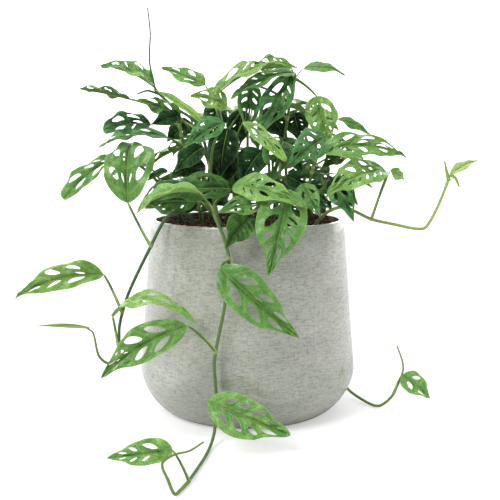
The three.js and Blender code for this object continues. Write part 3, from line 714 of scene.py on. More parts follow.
def leaf_material():
    """Satin leaf: deep to fresh green by age, pale veins and rims, paler dull underside."""
    material, make, shader = new_material("leaf_blade")
    coords = make.object_coords()
    tone = make.attribute("tone")
    under = make.attribute("under")
    spread = make.math("ABSOLUTE", make.attribute("across"))
    mottled = make.mottle(leaf_green(make, coords, tone), patch_scale=110.0, patches=0.2,
                          grain_scale=480.0, grain=0.3)
    cells = make.add("ShaderNodeTexVoronoi", {"Vector": coords, "Scale": 380.0},
                     feature="DISTANCE_TO_EDGE").outputs[0]
    net = make.ramp(cells, 0.0, 0.14)
    green = make.blend(net, make.blend(0.38, mottled["Color"], LEAF["net"]), mottled["Color"])
    # Painted shade: a band along each side of the midrib is darkened towards a dark green, as if
    # shaded in the groove; fresh, pale leaves get less of it.
    beside = make.times(make.ramp(spread, 0.3, 0.06), make.ramp(tone, 1.1, 0.4))
    midrib_shaded = make.blend(0.7, green, LEAF["painted_midrib_shade"])
    green = make.blend(make.times(beside, 0.24), green, midrib_shaded)
    vein = leaf_veins(make, spread)
    upper = leaf_tint(make, green, vein, tone)
    lower = make.blend(0.5, upper, make.blend(tone, LEAF["under_old"], LEAF["under_fresh"]))
    grain_rough = make.plus(make.times(mottled["Height"], 0.15), 0.33)
    pucker = make.times(make.noise(coords, scale=150.0, detail=2.0), 3.6)
    height = make.plus(make.minus(make.times(net, 0.3), vein), pucker)
    make.fill(shader, {
        "Base Color": make.blend(under, upper, lower),
        "Roughness": make.plus(grain_rough, make.times(under, 0.2)),
        "Specular IOR Level": 0.1,
        "Coat Weight": make.times(make.ramp(tone, -0.1, 0.6), 0.7),
        "Coat Roughness": 0.36,
        "Normal": make.bump(height, distance=0.0006, strength=0.8)})
    return material


def stalk_material():
    """Stems and leaf stalks: dark stem, lighter stalks, pale joints and sheaths."""
    material, make, shader = new_material("stem_and_stalk")
    old = make.blend(make.attribute("young"), STALK["old"], STALK["young"])
    green = make.blend(make.attribute("pale"), old, STALK["pale"])
    mottled = make.mottle(green, patch_scale=60.0, patches=0.25, grain_scale=1500.0,
                          grain=0.15)
    streaks = make.noise(make.object_coords(), scale=900.0, detail=2.0,
                         stretch=(1.0, 1.0, 0.12))
    make.fill(shader, {
        "Base Color": mottled["Color"],
        "Roughness": 0.45,
        "Specular IOR Level": 0.12,
        "Normal": make.bump(streaks, distance=0.0002, strength=0.5)})
    return material


def pot_material():
    """Satin pale grey-green stoneware, combed level and upright so that it looks like linen."""
    material, make, shader = new_material("brushed_stoneware")
    coords = make.object_coords()
    offset = make.times(make.noise(coords, scale=26.0, detail=2.0), 0.004)
    lift = make.add("ShaderNodeCombineXYZ", {"Z": offset}).outputs[0]
    waved = make.add("ShaderNodeVectorMath", {0: coords, 1: lift}, operation="ADD").outputs[0]
    combing = dict(scale=1.0, detail=4.0, rough=0.7)
    level = make.noise(waved, stretch=(110.0, 110.0, 620.0), **combing)
    upright = make.noise(waved, stretch=(580.0, 580.0, 125.0), **combing)
    strokes = make.plus(make.times(make.ramp(level, 0.44, 0.64), 0.65),
                        make.times(make.ramp(upright, 0.47, 0.66), 0.4))
    clouds = make.noise(coords, scale=1.0, detail=4.0, rough=0.65, stretch=(7.0, 7.0, 27.0))
    light = make.blend(make.ramp(clouds, 0.3, 0.7), STONEWARE["cloudy"], STONEWARE["clear"])
    combed = make.blend(strokes, light, make.blend(0.66, light, STONEWARE["groove"]))
    mottled = make.mottle(combed, patch_scale=30.0, patches=0.08, grain_scale=560.0,
                          grain=0.24)
    make.fill(shader, {
        "Base Color": mottled["Color"],
        "Roughness": make.plus(make.times(strokes, 0.2), 0.3),
        "Coat Weight": 1.0,
        "Coat Roughness": 0.1,
        "Coat IOR": 1.7,
        "Normal": make.bump(make.minus(1.0, strokes), distance=0.0003, strength=0.5)})
    return material


def soil_material(name, dark, light, patch_scale, rough):
    """Damp potting mix, or one kind of crumb in it."""
    material, make, shader = new_material(name)
    patches = make.noise(make.object_coords(), patch_scale, detail=4.0, rough=0.65)
    base = make.blend(make.ramp(patches, 0.35, 0.7), dark, light)
    mottled = make.mottle(base, patch_scale=160.0, patches=0.3, grain_scale=1400.0, grain=0.3)
    make.fill(shader, {
        "Base Color": mottled["Color"],
        "Roughness": rough,
        "Normal": make.bump(mottled["Height"], distance=0.0012, strength=0.9)})
    return material


def floor_material():
    """Matte pale floor, lit up to white where the camera sees it."""
    material, make, shader = new_material("pale_floor")
    shown = make.add("ShaderNodeLightPath").outputs["Is Camera Ray"]
    make.fill(shader, {
        "Base Color": color(0.75, 0.75, 0.75),
        "Roughness": 0.9,
        "Specular IOR Level": 0.0,
        "Emission Color": WHITE,
        "Emission Strength": make.times(shown, 0.4)})
    return material


# ---- Leaf blades ----
def outline(t, widest):
    """Share of the full half width at a share t of the length: round base, drawn-out tip."""
    t = clamp(t)
    fall = OUTLINE_RISE * (1 - widest) / widest
    peak = widest ** OUTLINE_RISE * (1 - widest) ** fall
    drip = clamp((t - DRIP_START) / (1 - DRIP_START))
    return t ** OUTLINE_RISE * (1 - t) ** fall / peak * (1 - DRIP_WAIST * math.sin(math.pi * drip))


class Blade:
    """The middle surface of one leaf blade, with the CAD's own formulas and finer relief."""

    def __init__(self, row, draw):
        self.row = row
        self.base = Vector(row["base"])
        chord = Vector(row["tip"]) - self.base
        self.length = chord.length
        self.along = chord.normalized()
        turn = math.radians(row.get("turn", FRONT))
        lean = math.radians(row["lean"])
        facing = Vector((math.sin(lean) * math.cos(turn), math.sin(lean) * math.sin(turn),
                         math.cos(lean)))
        self.across = self.along.cross(facing).normalized()
        self.normal = self.across.cross(self.along)
        self.fold = math.radians(row.get("fold", BLADE_FOLD))
        self.widest = row.get("widest", WIDEST_AT)
        self.bays = (row.get("finer") or row.get("bays")
                     or round(clamp(self.length / BAY_LENGTH, *BAYS)))
        self.holed = not row.get("plain") and self.length > SHORTEST_HOLED
        self.slits = 0.0
        if not self.holed and row["width"] > SLIM_LEAF:
            self.bays = PLAIN_BAYS
            self.slits = row.get("slits", SLITS_SHARE)
        self.relief = clamp(row["width"] / FULL_RELIEF_WIDTH, LEAST_RELIEF)
        self.phases = [2 * math.pi * draw() for _ in range(4)]
        self.twist = TWIST * (2 * draw() - 1)
        self.sway = SWAY * (2 * draw() - 1)

    def t_of(self, s, v):
        """Share of the length at line s, which slants forward away from the midrib."""
        slant = VEIN_SLANT * min(1.0, s / MIDRIB_START, (1 - s) / (1 - MIDRIB_END))
        return s + slant * abs(v)

    def bay_of(self, s):
        """Side veins lie at whole numbers."""
        return (s - MIDRIB_START) / (MIDRIB_END - MIDRIB_START) * self.bays

    def surface(self, t, out, relief=0.0):
        """Point at a share t of the length, and at a distance out from the midrib."""
        width = self.row["width"]
        reach = abs(out)
        side = math.copysign(1.0, out) if out else 0.0
        edge = 2 * reach / width
        wave = BLADE_WAVE * math.sin(BLADE_WAVES * t + side) * edge ** 2
        curl = BLADE_CURL * reach * reach / width
        rise = 4 * self.row["arch"] * self.length * t * (1 - t)
        twist = out * math.sin(self.twist * t)
        height = rise + reach * math.sin(self.fold) - curl + wave + twist + relief
        aside = out * math.cos(self.fold) + self.sway * self.length * math.sin(math.pi * t)
        return (self.base + self.along * (self.length * t) + self.across * aside
                + self.normal * height)

    def relief_at(self, s, t, v):
        """Grooved midrib, puffed bays, wavy margin and slight crumples."""
        bay = 2 * math.pi * self.bay_of(s)
        groove = -GROOVE * math.exp(-(v / GROOVE_WIDTH) ** 2)
        puff = QUILT * min(1.0, BAYS[1] / self.bays)
        quilt = puff * (0.5 - 0.5 * math.cos(bay)) * 4 * abs(v) * (1 - abs(v))
        flutter = FLUTTER * math.sin(FLUTTERS * t + self.phases[2 + (v > 0)]) * abs(v) ** 3
        spot = Vector((CRUMPLES[0] * t + self.phases[0], CRUMPLES[1] * v, self.phases[2]))
        crumple = CRUMPLE * noise.noise(spot) * min(1.0, 4 * abs(v))
        fade = clamp(min(s / RELIEF_ENDS[0], (1 - s) / RELIEF_ENDS[1]))
        return (groove + quilt + flutter + crumple) * self.relief * fade

    def place(self, s, v):
        """Where a point of the flat blade comes to lie."""
        t = self.t_of(s, v)
        right = v > 0
        side = 1.0 if right else -1.0
        half = self.row["width"] / 2 * outline(t, self.widest) * (1 + BLADE_SKEW * side)
        lobed = 1 + LOBES * math.sin(LOBE_TURNS * t + self.phases[right]) * abs(v)
        return self.surface(t, half * v * lobed, self.relief_at(s, t, v))


def cut_hole(table, rows, side, columns, draw, wide=1.0):
    """Makes a lens-shaped hole of the cells in rows and columns, and gives their faces."""
    size = mix(*HOLE_LENGTHS, draw()) * wide
    slant = mix(*HOLE_SLANTS, draw())
    lift = mix(*HOLE_LIFTS, draw())
    first, last = columns
    low = table[rows[0], MIDDLE].co.x
    high = table[rows[-1] + 1, MIDDLE].co.x
    centre = (low + high) / 2
    half = (high - low) / 2
    inner = table[rows[0], MIDDLE + side * first].co.y
    outer = table[rows[0], MIDDLE + side * (last + 1)].co.y
    heart = (inner + outer) / 2
    for column in range(first, last + 2):
        share = (column - first) / (last + 1 - first)
        swell = math.sin(math.pi * (HOLE_ROUND[0] + HOLE_ROUND[1] * share))
        plump = HOLE_PLUMP[0] + HOLE_PLUMP[1] * swell
        shift = slant * (share - HOLE_HEART) * half
        for line in range(rows[0], rows[-1] + 2):
            vert = table[line, MIDDLE + side * column]
            apart = (2 * (line - rows[0]) / len(rows) - 1) * half * size * plump
            vert.co.x = centre + shift + apart
            vert.co.y = heart + (vert.co.y - heart) * wide + side * lift
    return {face for row in rows for column in range(first, last + 1)
            for face in cell_faces(table, row, MIDDLE + side * column, side)}


def cell_faces(table, row, near, side):
    """The face between two lines and two columns of the grid."""
    far = near + side
    square = {table[row, near], table[row + 1, near], table[row, far], table[row + 1, far]}
    return [face for face in table[row, near].link_faces if set(face.verts) == square]


def bay_lines(blade, draw):
    """Lines across the blade, and each bay's first row of holes and whether it has two."""
    step = (MIDRIB_END - MIDRIB_START) / blade.bays
    lines = [0.0, BASE_LINE * MIDRIB_START]
    bays = []
    for bay in range(blade.bays):
        start = MIDRIB_START + step * bay
        lines.append(start)
        paired = blade.holed and draw() < blade.row.get("pairs", TWO_HOLES_SHARE)
        bays.append((len(lines), paired))
        lines += [start + step * share for share in (TWO_HOLES if paired else ONE_HOLE)]
    tip_lines = [mix(MIDRIB_END, 1.0, share) for share in TIP_LINES]
    return lines + [MIDRIB_END] + tip_lines + [1.0], bays


def cut_slits(blade, table, bays, draw):
    """Short slits in some bays of a plain leaf; gives their faces."""
    doomed = set()
    for row, _ in bays[1:]:
        for side in (-1, 1):
            if draw() < blade.slits:
                doomed |= cut_hole(table, [row], side, (HOLE_FIRST, SLIT_LAST), draw, SLIT_SIZE)
    return doomed


def cut_half_bay(blade, table, groups, side, draw):
    """One hole for each group of rows, some with a small round hole beside the midrib."""
    doomed = set()
    small_share = blade.row.get("small", SMALL_HOLE_SHARE)
    wide = blade.row.get("open", HOLE_SIZE)
    for rows in groups:
        small = draw() < small_share and blade.row["width"] > SMALL_HOLE_FROM_WIDTH
        if draw() < BLIND_SHARE:
            continue
        first = HOLE_FIRST
        if small:
            first += 1
            doomed |= cut_hole(table, rows, side, (SMALL_HOLE_COLUMN,) * 2, draw)
        doomed |= cut_hole(table, rows, side, (first, HOLE_LAST), draw, wide)
    return doomed


def cut_holes(blade, table, bays, draw):
    """The holes of a holed leaf, one or two in each half bay; gives their faces."""
    doomed = set()
    for row, paired in bays:
        for side in (-1, 1):
            groups = [[row]]
            if paired:
                merged = draw() < MERGED_SHARE
                groups = [[row, row + 1, row + 2]] if merged else [[row], [row + 2]]
            doomed |= cut_half_bay(blade, table, groups, side, draw)
    return doomed


def flat_blade(blade, draw):
    """The blade laid out flat in (s, v), with its holes cut."""
    bm = bmesh.new()
    lines, bays = bay_lines(blade, draw)
    half = list(COLUMNS) + [1.0]
    table = flat_grid(bm, lines, [-v for v in reversed(half)] + [0.0] + half)
    doomed = set()
    if blade.slits:
        doomed = cut_slits(blade, table, bays, draw)
    if blade.holed:
        doomed = cut_holes(blade, table, bays, draw)
    loose = [vert for vert in bm.verts
             if vert.link_faces and all(face in doomed for face in vert.link_faces)]
    bmesh.ops.delete(bm, geom=list(doomed), context="FACES")
    bmesh.ops.delete(bm, geom=[vert for vert in loose if vert.is_valid], context="VERTS")
    return bm


def rounded(bm, levels):
    """The same mesh after Catmull-Clark subdivision, with its outer corners kept."""
    cage = linked("cage", mesh_of("cage", bm))
    subdivision = cage.modifiers.new("subdivision", "SUBSURF")
    subdivision.levels = levels
    subdivision.render_levels = levels
    subdivision.boundary_smooth = "PRESERVE_CORNERS"
    graph = bpy.context.evaluated_depsgraph_get()
    smooth = bpy.data.meshes.new_from_object(cage.evaluated_get(graph))
    result = bmesh.new()
    result.from_mesh(smooth)
    rough = cage.data
    bpy.data.objects.remove(cage)
    bpy.data.meshes.remove(rough)
    bpy.data.meshes.remove(smooth)
    return result


def form_blade(bm, blade, dry_from, cool):
    """Bends the flat blade to its shape, and notes on it what its material reads."""
    tone = blade.row["tone"]
    layer = {name: bm.verts.layers.float.new(name) for name in BLADE_LAYERS}
    for vert in bm.verts:
        s, v = vert.co.x, vert.co.y
        tip = clamp((s - FRESH_TIP_FROM) / (1 - FRESH_TIP_FROM))
        freshness = FRESH_TIP * tip ** 2 + FRESH_RIM * abs(v) ** 4
        vert[layer["tone"]] = max(tone, clamp(tone + freshness))
        vert[layer["rim"]] = 1.0 if vert.is_boundary else 0.0
        vert[layer["dry"]] = clamp((s + DRY_RIM * abs(v) - dry_from) / DRY_FADE)
        vert[layer["across"]] = v
        vert[layer["cool"]] = cool
        vert[layer["bay"]] = blade.bay_of(s)
        vert.co = blade.place(s, v)
    bmesh.ops.remove_doubles(bm, verts=bm.verts[:], dist=BLADE_WELD)
    bm.normal_update()
    facing = sum((face.normal * face.calc_area() for face in bm.faces), Vector())
    if facing.dot(blade.normal) < 0:
        bmesh.ops.reverse_faces(bm, faces=bm.faces[:])
        bm.normal_update()


def thicken(bm):
    """Gives the blade its thickness, marks its under side and keeps its margin crisp."""
    for vert in bm.verts:
        vert.co += vert.normal * BLADE_THICKNESS / 2
    upper = set(bm.verts)
    bmesh.ops.solidify(bm, geom=bm.faces[:], thickness=BLADE_THICKNESS)
    under = bm.verts.layers.float["under"]
    for vert in bm.verts:
        if vert not in upper:
            vert[under] = 1.0
    for edge in bm.edges:
        if any(len({v in upper for v in face.verts}) == 2 for face in edge.link_faces):
            edge.smooth = False
    calm_corners(bm, upper)


def calm_corners(bm, upper):
    """Draws back the corners that the thickening threw out of the under side."""
    tree = kdtree.KDTree(len(upper))
    for k, vert in enumerate(upper):
        tree.insert(vert.co, k)
    tree.balance()

    def astray(point):
        return tree.find(point)[2] > 2 * BLADE_THICKNESS

    for vert in bm.verts:
        if vert not in upper and astray(vert.co):
            beside = [edge.other_vert(vert).co for edge in vert.link_edges]
            near = [point for point in beside if not astray(point)]
            if near:
                vert.co = sum(near, Vector()) / len(near)


def add_blade(target, row, seed):
    """Adds one leaf blade, with its holes, relief and thickness, to the bmesh target."""
    draw = random.Random(seed).random
    blade = Blade(row, draw)
    fine = blade.holed and row["width"] > SLIM_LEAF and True
    bm = rounded(flat_blade(blade, draw), 2 if fine else 1)
    dry_from = mix(*DRY_FROM, draw())
    form_blade(bm, blade, dry_from, row.get("cool", draw()))
    thicken(bm)
    join(target, bm)
    return blade


# ---- Stems and stalks ----
def add_tube(target, path, radii, sides, young, pale, flat=1.0):
    """Adds a closed tube along path. Young and pale are one value, or a list along it."""
    bm = bmesh.new()
    tints = [(bm.verts.layers.float.new("young"), young), (bm.verts.layers.float.new("pale"), pale)]
    table = flat_grid(bm, range(len(path)), range(sides + 1))
    normal = TUBE_SIDE
    for i, centre in enumerate(path):
        tangent = tangent_at(path, i)
        normal = square_to(tangent, normal)
        binormal = tangent.cross(normal)
        for j in range(sides + 1):
            angle = 2 * math.pi * j / sides
            vert = table[i, j]
            vert.co = (centre + normal * (radii[i] * math.cos(angle))
                       + binormal * (radii[i] * flat * math.sin(angle)))
            for layer, value in tints:
                vert[layer] = value[i] if isinstance(value, list) else value
    bmesh.ops.remove_doubles(bm, verts=bm.verts[:], dist=WELD)
    edges = [edge for edge in bm.edges if edge.is_boundary]
    bmesh.ops.holes_fill(bm, edges=edges, sides=0)
    bmesh.ops.recalc_face_normals(bm, faces=bm.faces[:])
    join(target, bm)


def smooth_route(points, step=ROUTE_STEP):
    """Points close together on a curve through the given ones, rounded at each of them."""
    curve = []
    for i, (a, b) in enumerate(zip(points, points[1:])):
        span = (b - a).length
        slope_a = tangent_at(points, i) * span * ROUTE_EASE
        slope_b = tangent_at(points, i + 1) * span * ROUTE_EASE
        count = max(2, round(span / step))
        for k in range(count):
            t = k / count
            curve.append(a * (2 * t ** 3 - 3 * t ** 2 + 1) + slope_a * (t ** 3 - 2 * t ** 2 + t)
                         + b * (3 * t ** 2 - 2 * t ** 3) + slope_b * (t ** 3 - t ** 2))
    curve.append(points[-1].copy())
    return curve


def add_stem(target, route, joints, look):
    """Adds a stem with a swollen pale joint wherever a leaf leaves it."""
    young, plain_pale = look
    path = smooth_route(route)
    radii = []
    pale = []
    for i, point in enumerate(path):
        near = min(((point - joint).length for joint in joints), default=math.inf)
        ring = math.exp(-(near / JOINT_LENGTH) ** 2)
        radii.append(STEM_RADIUS * mix(1.0, THINNING, i / len(path)) * (1 + JOINT_SWELL * ring))
        pale.append(mix(plain_pale, JOINT_PALE, ring))
    add_tube(target, path, radii, STEM_SIDES, young, pale)
    return path


def stalk_path(start, blade):
    """The bowed way of a leaf stalk, up to its blade."""
    end = blade.surface(0.0, 0.0)
    reach = (end - start).length
    middle = start.lerp(end, 0.5)
    middle.z += blade.row.get("bow", PETIOLE_BOW) * reach
    count = max(6, round(reach / STALK_STEP))
    shares = [i / count for i in range(count)]
    return [start * (1 - t) ** 2 + middle * (2 * t * (1 - t)) + end * t ** 2 for t in shares]


def midrib_path(blade, thin):
    """The way of the midrib, which lies half in the under side of the blade."""
    path = []
    for t in MIDRIB_STOPS:
        dip = MIDRIB_DIP * THINNING * thin * min(1.0, t / MIDRIB_DIP_FROM) * (1 - t)
        path.append(blade.surface(t, 0.0) - blade.normal * (MIDRIB_BELOW + dip))
    return path


def add_stalk(target, start, blade):
    """Adds a leaf stalk with its sheath, which runs on under the blade as its midrib."""
    thin = clamp(blade.row["width"] / STOUT_LEAF, LEAST_STOUTNESS)
    stalk = stalk_path(start, blade)
    midrib = midrib_path(blade, thin)
    radii = []
    young = []
    pale = []
    for i in range(len(stalk)):
        share = i / len(stalk)
        radii.append(STALK_PLUMP * PETIOLE_RADIUS * thin * mix(*STALK_TAPER, share ** 0.7))
        young.append(mix(*STALK_YOUNG, share))
        foot = math.exp(-(share / STALK_FOOT) ** 2)
        pale.append(STALK_PALE[0] * foot + STALK_PALE[1] * share ** 8)
    for i in range(len(midrib)):
        radii.append(PETIOLE_RADIUS * thin * mix(*MIDRIB_TAPER, i / (len(midrib) - 1)))
        young.append(1.0)
        pale.append(MIDRIB_PALE[0] + MIDRIB_PALE[1] * blade.row["tone"])
    add_tube(target, stalk + midrib, radii, STALK_SIDES, young, pale)
    add_sheath(target, stalk[:max(4, round(len(stalk) * SHEATH_SHARE))], thin)


def add_sheath(target, path, thin):
    """The paler sheath that clasps the lower part of a leaf stalk and ends in a short lip."""
    lifted = []
    radii = []
    for i, point in enumerate(path):
        share = i / (len(path) - 1)
        up = square_to(tangent_at(path, i), SHEATH_SIDE)
        lifted.append(point + up * (SHEATH_LIFT * thin * (1 + SHEATH_LIP * share ** 6)))
        narrow = 1.0 if share < SHEATH_END else SHEATH_END_WIDTH
        radii.append(STALK_PLUMP * thin * mix(*SHEATH_TAPER, share) * narrow)
    add_tube(target, lifted, radii, STALK_SIDES, young=1.0, pale=0.85)


def add_roll(target, row):
    """A young leaf still rolled up: a spindle with its seam wound along it."""
    blade = Blade(row, lambda: 0.5)
    path = []
    radii = []
    seam = []
    for i in range(ROLL_STEPS + 1):
        t = i / ROLL_STEPS
        girth = row["width"] * ROLL_GIRTH * outline(clamp(t, 0.001, 0.999), ROLL_WIDEST)
        radii.append(max(ROLL_LEAST, girth))
        path.append(blade.surface(t, 0.0))
        turn = ROLL_SEAM[0] + ROLL_SEAM[1] * i / ROLL_STEPS
        outward = blade.across * math.cos(turn) + blade.normal * math.sin(turn)
        seam.append(path[i] + outward * radii[i] * ROLL_FLATNESS)
    seam_radii = [max(SEAM_LEAST, radius * SEAM_GIRTH) for radius in radii]
    add_tube(target, path, radii, STEM_SIDES, young=1.0, pale=0.75, flat=ROLL_FLATNESS)
    add_tube(target, seam, seam_radii, SEAM_SIDES, young=0.4, pale=0.3)


def inner_leaves(stem):
    """Smaller leaves low on a stem, placed by the stem's own seed, as in the CAD."""
    centres = [Vector(point) for point in stem["route"]]
    draw = seeded_draws(stem["seed"])
    count = stem.get("inner", INNER_LEAVES)
    leaves = []
    for k in range(count):
        at = INNER["along"][0] + INNER["along"][1] * (k + draw()) / count
        start = point_along(centres, at)
        azimuth = 2 * math.pi * draw()
        out = drawn(INNER["out"], draw)
        reach = out + drawn(INNER["length"], draw)
        height = start.z + drawn(INNER["lift"], draw)
        drop = drawn(INNER["drop"], draw)
        ahead = around(azimuth, 1.0, 0.0)
        flat_start = Vector((start.x, start.y, 0.0))
        base = flat_start + ahead * out + Vector((0, 0, height))
        tip = flat_start + ahead * reach + Vector((0, 0, height - drop))
        width = drawn(INNER["width"], draw)
        tone = INNER["tone"][0] + INNER["tone"][1] * (azimuth % 1.0)
        leaves.append(leaf(at, base, tip, width, INNER["lean"], INNER["arch"], tone,
                           bays=INNER["bays"]))
    return leaves


def rear_stem(index, draw):
    """Stem `index` of the rear half, with leaves to both sides of it in turn."""
    azimuth = math.radians(REAR["ring"][0] + REAR["ring"][1] * index)
    higher = REAR["odd_stem_higher"] if index % 2 else 0
    leaves = []
    for k in range(REAR_LEAVES):
        side = 1 if k % 2 else -1
        angle = azimuth + side * math.radians(drawn(REAR["aside"], draw))
        height = drawn(REAR["height"], draw) + REAR["height_each"] * k + higher
        near = REAR["near"] + REAR["near_each"] * k
        far = near + drawn(REAR["length"], draw)
        tip_height = height + REAR["tip_drop"] + REAR["tip_drop_each"] * k
        tip = around(angle + side * math.radians(REAR["tip_aside"]), far, tip_height)
        tone = REAR["tone"] + REAR["tone_each"] * k + REAR["tone_each_stem"] * index
        leaves.append(leaf(REAR["at"] + REAR["at_each"] * k, around(angle, near, height), tip,
                           drawn(REAR["width"], draw), REAR["lean"], REAR["arch"], tone,
                           turn=math.degrees(angle)))
    return dict(seed=REAR_INNER_SEEDS[index], inner=REAR_INNER_LEAVES, leaves=leaves,
                route=[around(azimuth, radius, height) for radius, height in REAR["route"]])


def add_shoot(target, points, radius, look):
    """A growing tip or a bare shoot, drawn out to a point."""
    path = smooth_route([Vector(point) for point in points], step=SHOOT_STEP)
    radii = [SHOOT_PLUMP * mix(radius, SHOOT_TIP_RADIUS, i / len(path)) for i in range(len(path))]
    young = mix(*SHOOT_YOUNG, look[0])
    add_tube(target, path, radii, STALK_SIDES, young, mix(*SHOOT_PALE, look[1]))


def build_leafy_stem(name, stem, stalks_material, blades_material, seed):
    """One leafy stem as two pieces: its green stalks, and its leaf blades."""
    route = [Vector(point) for point in stem["route"]]
    leaves = stem["leaves"] + (inner_leaves(stem) if stem.get("seed") else [])
    stalks = bmesh.new()
    blades = bmesh.new()
    joints = [point_along(route, row["at"]) for row in leaves]
    look = STEM_LOOKS.get(name, OTHER_STEM_LOOK)
    path = add_stem(stalks, route, joints, look)
    for k, row in enumerate(leaves):
        blade = add_blade(blades, row, seed * SEEDS_PER_STEM + k)
        start = min(path, key=lambda point: (point - joints[k]).length)
        add_stalk(stalks, start, blade)
    for points, radius in stem.get("shoots", []):
        add_shoot(stalks, points, radius, look)
    for row in stem.get("rolled", []):
        add_roll(stalks, row)
    piece_from(name + "_stalks", stalks, [stalks_material], [name])
    piece_from(name + "_blades", blades, [blades_material], [name])


# ---- Pot and soil ----
def pot_radius(height):
    """Outer radius at a height: a rounded foot, the belly, then a slow taper to the rim."""
    if height >= POT_BELLY_HEIGHT:
        share = (height - POT_BELLY_HEIGHT) / (POT_HEIGHT - POT_BELLY_HEIGHT)
        return POT_BELLY_RADIUS - (POT_BELLY_RADIUS - POT_RIM_RADIUS) * share ** POT_TAPER
    turn = math.acos((1 - height / POT_BELLY_HEIGHT) ** (1 / POT_FOOT_HEIGHT_POWER))
    reach = math.sin(turn) ** POT_FOOT_REACH_POWER
    return POT_FOOT_RADIUS + (POT_BELLY_RADIUS - POT_FOOT_RADIUS) * reach


def spun(profile, steps):
    """A round closed body spun about Z from a profile of (radius, height) on its axis."""
    bm = bmesh.new()
    verts = [bm.verts.new((radius, 0.0, height)) for radius, height in profile]
    edges = [bm.edges.new(pair) for pair in zip(verts, verts[1:])]
    bmesh.ops.spin(bm, geom=verts + edges, cent=(0, 0, 0), axis=(0, 0, 1),
                   angle=2 * math.pi, steps=steps, use_merge=True)
    bmesh.ops.remove_doubles(bm, verts=bm.verts[:], dist=WELD)
    bmesh.ops.recalc_face_normals(bm, faces=bm.faces[:])
    smooth_faces(bm)
    return bm


def rim_arc(centre, start):
    """Inner points of a quarter of the rounded rim, which turns about radius centre."""
    turns = [start + math.pi / 2 * k / POT_LIP_STEPS for k in range(1, POT_LIP_STEPS)]
    return [(centre + POT_LIP * math.cos(turn), POT_HEIGHT - POT_LIP + POT_LIP * math.sin(turn))
            for turn in turns]


def build_pot(material):
    side = POT_HEIGHT - POT_LIP - POT_BELLY_HEIGHT
    heights = list(POT_FOOT_HEIGHTS)
    heights += [POT_BELLY_HEIGHT + side * k / POT_SIDE_STEPS for k in range(POT_SIDE_STEPS + 1)]
    profile = [(0.0, 0.0)] + [(pot_radius(height), height) for height in heights]
    profile += rim_arc(POT_RIM_RADIUS - POT_LIP, 0.0)
    profile += rim_arc(POT_RIM_RADIUS - POT_WALL + POT_LIP, math.pi / 2)
    profile += [(pot_radius(height) - POT_WALL, height) for height in POT_INNER_HEIGHTS]
    profile.append((0.0, POT_FLOOR))
    piece_from("stoneware_pot", spun(profile, POT_STEPS), [material], ["pot"])


def unevenness(x, y, height, span, layer):
    return height * noise.noise(Vector((x / span, y / span, layer)))


def soil_height(x, y):
    """Height of the soil: the CAD's swell, heaped a little at the left and along the rim."""
    swell = SOIL_UNEVEN * (math.sin(x / SOIL_WAVES[0]) + math.cos(y / SOIL_WAVES[1]))
    away = (x - HEAP_PLACE[0]) ** 2 + (y - HEAP_PLACE[1]) ** 2
    heap = HEAP_HEIGHT * math.exp(-away / HEAP_SPREAD)
    heap += RIM_HEAP_HEIGHT * clamp((math.hypot(x, y) - RIM_HEAP_START) / RIM_HEAP_WIDTH) ** 2
    return (SOIL_TOP + swell + heap + unevenness(x, y, *SOIL_LUMPS)
            + unevenness(x, y, *SOIL_GRAINS))


def build_soil_bed(edge, material):
    profile = [(0.0, POT_FLOOR + SOIL_GAP)]
    profile += [(pot_radius(height) - POT_WALL - SOIL_GAP, height) for height in SOIL_SIDE_HEIGHTS]
    profile += [(edge * (1 - k / SOIL_RINGS), SOIL_TOP) for k in range(SOIL_RINGS + 1)]
    bm = spun(profile, SOIL_STEPS)
    for vert in bm.verts:
        if vert.co.z > SOIL_TOP - 1:
            vert.co.z = soil_height(vert.co.x, vert.co.y)
    piece_from("soil_bed", bm, [material], ["soil"])


def crumb_kind(draw):
    """Index of a crumb's material, its size and its stretch: humus, bark or perlite."""
    kind = draw()
    size = mix(*CRUMB_SIZES, draw() ** 2)
    stretch = (1.0, mix(0.5, 1.0, draw()), mix(0.4, 0.8, draw()))
    if kind > PERLITE_FROM:
        return 2, mix(*PERLITE_SIZES, draw()), PERLITE_STRETCH
    if kind > BARK_FROM:
        return 1, size * BARK_SIZE, BARK_STRETCH
    return 0, size, stretch


def add_crumb(bm, edge, draw):
    """One loose crumb, part sunk in the soil."""
    reach = (edge - CRUMB_MARGIN) * math.sqrt(draw())
    turn = 2 * math.pi * draw()
    x, y = reach * math.cos(turn), reach * math.sin(turn)
    index, size, stretch = crumb_kind(draw)
    spin_z = Matrix.Rotation(CRUMB_TURN * draw(), 4, "Z")
    spin_x = Matrix.Rotation(draw() - 0.5, 4, "X")
    shape = Matrix.Diagonal(Vector(stretch) * size).to_4x4()
    place = Matrix.Translation((x, y, soil_height(x, y) + CRUMB_LIFT * size))
    made = bmesh.ops.create_icosphere(bm, subdivisions=1, radius=1.0,
                                      matrix=place @ spin_z @ spin_x @ shape)
    for vert in made["verts"]:
        push = Vector((draw() - 0.5, draw() - 0.5, draw() - 0.5))
        vert.co += push * CRUMB_ROUGHNESS * size
    for face in {face for vert in made["verts"] for face in vert.link_faces}:
        face.material_index = index


def build_soil(bed_material, *crumb_materials):
    edge = pot_radius(SOIL_TOP) - POT_WALL - SOIL_GAP
    build_soil_bed(edge, bed_material)
    draw = random.Random(CRUMB_SEED).random
    bm = bmesh.new()
    for _ in range(CRUMBS):
        add_crumb(bm, edge, draw)
    piece_from("soil_crumbs", bm, crumb_materials, [])


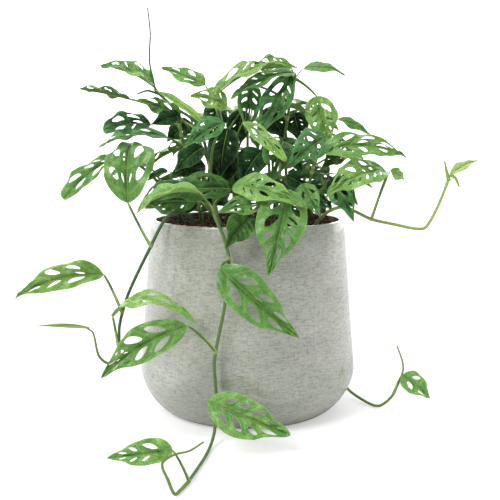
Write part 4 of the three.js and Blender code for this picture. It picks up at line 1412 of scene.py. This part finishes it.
# ---- Studio ----
def build_camera():
    data = bpy.data.cameras.new("camera")
    data.sensor_width = SENSOR_WIDTH
    data.lens = CAMERA_LENS
    camera = linked("camera", data)
    camera.location = Vector(CAMERA_PLACE) * MM
    camera.rotation_euler = (math.radians(90 - CAMERA_PITCH), 0.0, 0.0)
    bpy.context.scene.camera = camera


def add_softbox(name, place, strength, spread, mirrored):
    """A far softbox: even light over the whole floor, from the direction of place."""
    data = bpy.data.lights.new(name, "SUN")
    data.energy = strength
    data.angle = math.radians(spread)
    lamp = linked(name, data)
    lamp.location = place
    lamp.visible_glossy = mirrored
    lamp.rotation_euler = (-Vector(place)).to_track_quat("-Z", "Y").to_euler()


def build_backdrop():
    """Soft light from all round, brighter from behind the pot, and white to the camera."""
    world = bpy.data.worlds.new("studio")
    world.use_nodes = True
    make = Nodes(world.node_tree)
    toward = make.add("ShaderNodeTexCoord").outputs["Generated"]
    depth = make.add("ShaderNodeSeparateXYZ", {0: toward}).outputs["Y"]
    lit = make.plus(make.times(make.ramp(depth, *BACKDROP_DEPTHS), BACKDROP_LIGHT), ROOM_LIGHT)
    shown = make.add("ShaderNodeLightPath").outputs["Is Camera Ray"]
    make.fill(world.node_tree.nodes["Background"],
              {"Color": WHITE, "Strength": make.math("MAXIMUM", lit, shown)})
    bpy.context.scene.world = world


def build_floor():
    bm = bmesh.new()
    bmesh.ops.create_grid(bm, x_segments=1, y_segments=1, size=FLOOR_REACH)
    floor = linked("floor", mesh_of("floor", bm))
    floor.data.materials.append(floor_material())


def build_studio():
    bpy.context.scene.view_settings.view_transform = "Standard"
    build_backdrop()
    for softbox in SOFTBOXES:
        add_softbox(*softbox)
    build_floor()


# ---- The plant in its pot ----
def build_plant():
    """Every stem with its own seed, first those of the list, then those of the rear half."""
    stems = dict(STEMS)
    draw = seeded_draws(REAR_SEED)
    for index in range(REAR_STEMS):
        stems[f"stem_rear_{index + 1}"] = rear_stem(index, draw)
    stalks = stalk_material()
    blades = leaf_material()
    for order, (name, stem) in enumerate(stems.items()):
        build_leafy_stem(name, stem, stalks, blades, order + 1)


build_camera()
build_pot(pot_material())
build_soil(*[soil_material(*kind) for kind in SOIL_KINDS])
build_plant()
build_studio()
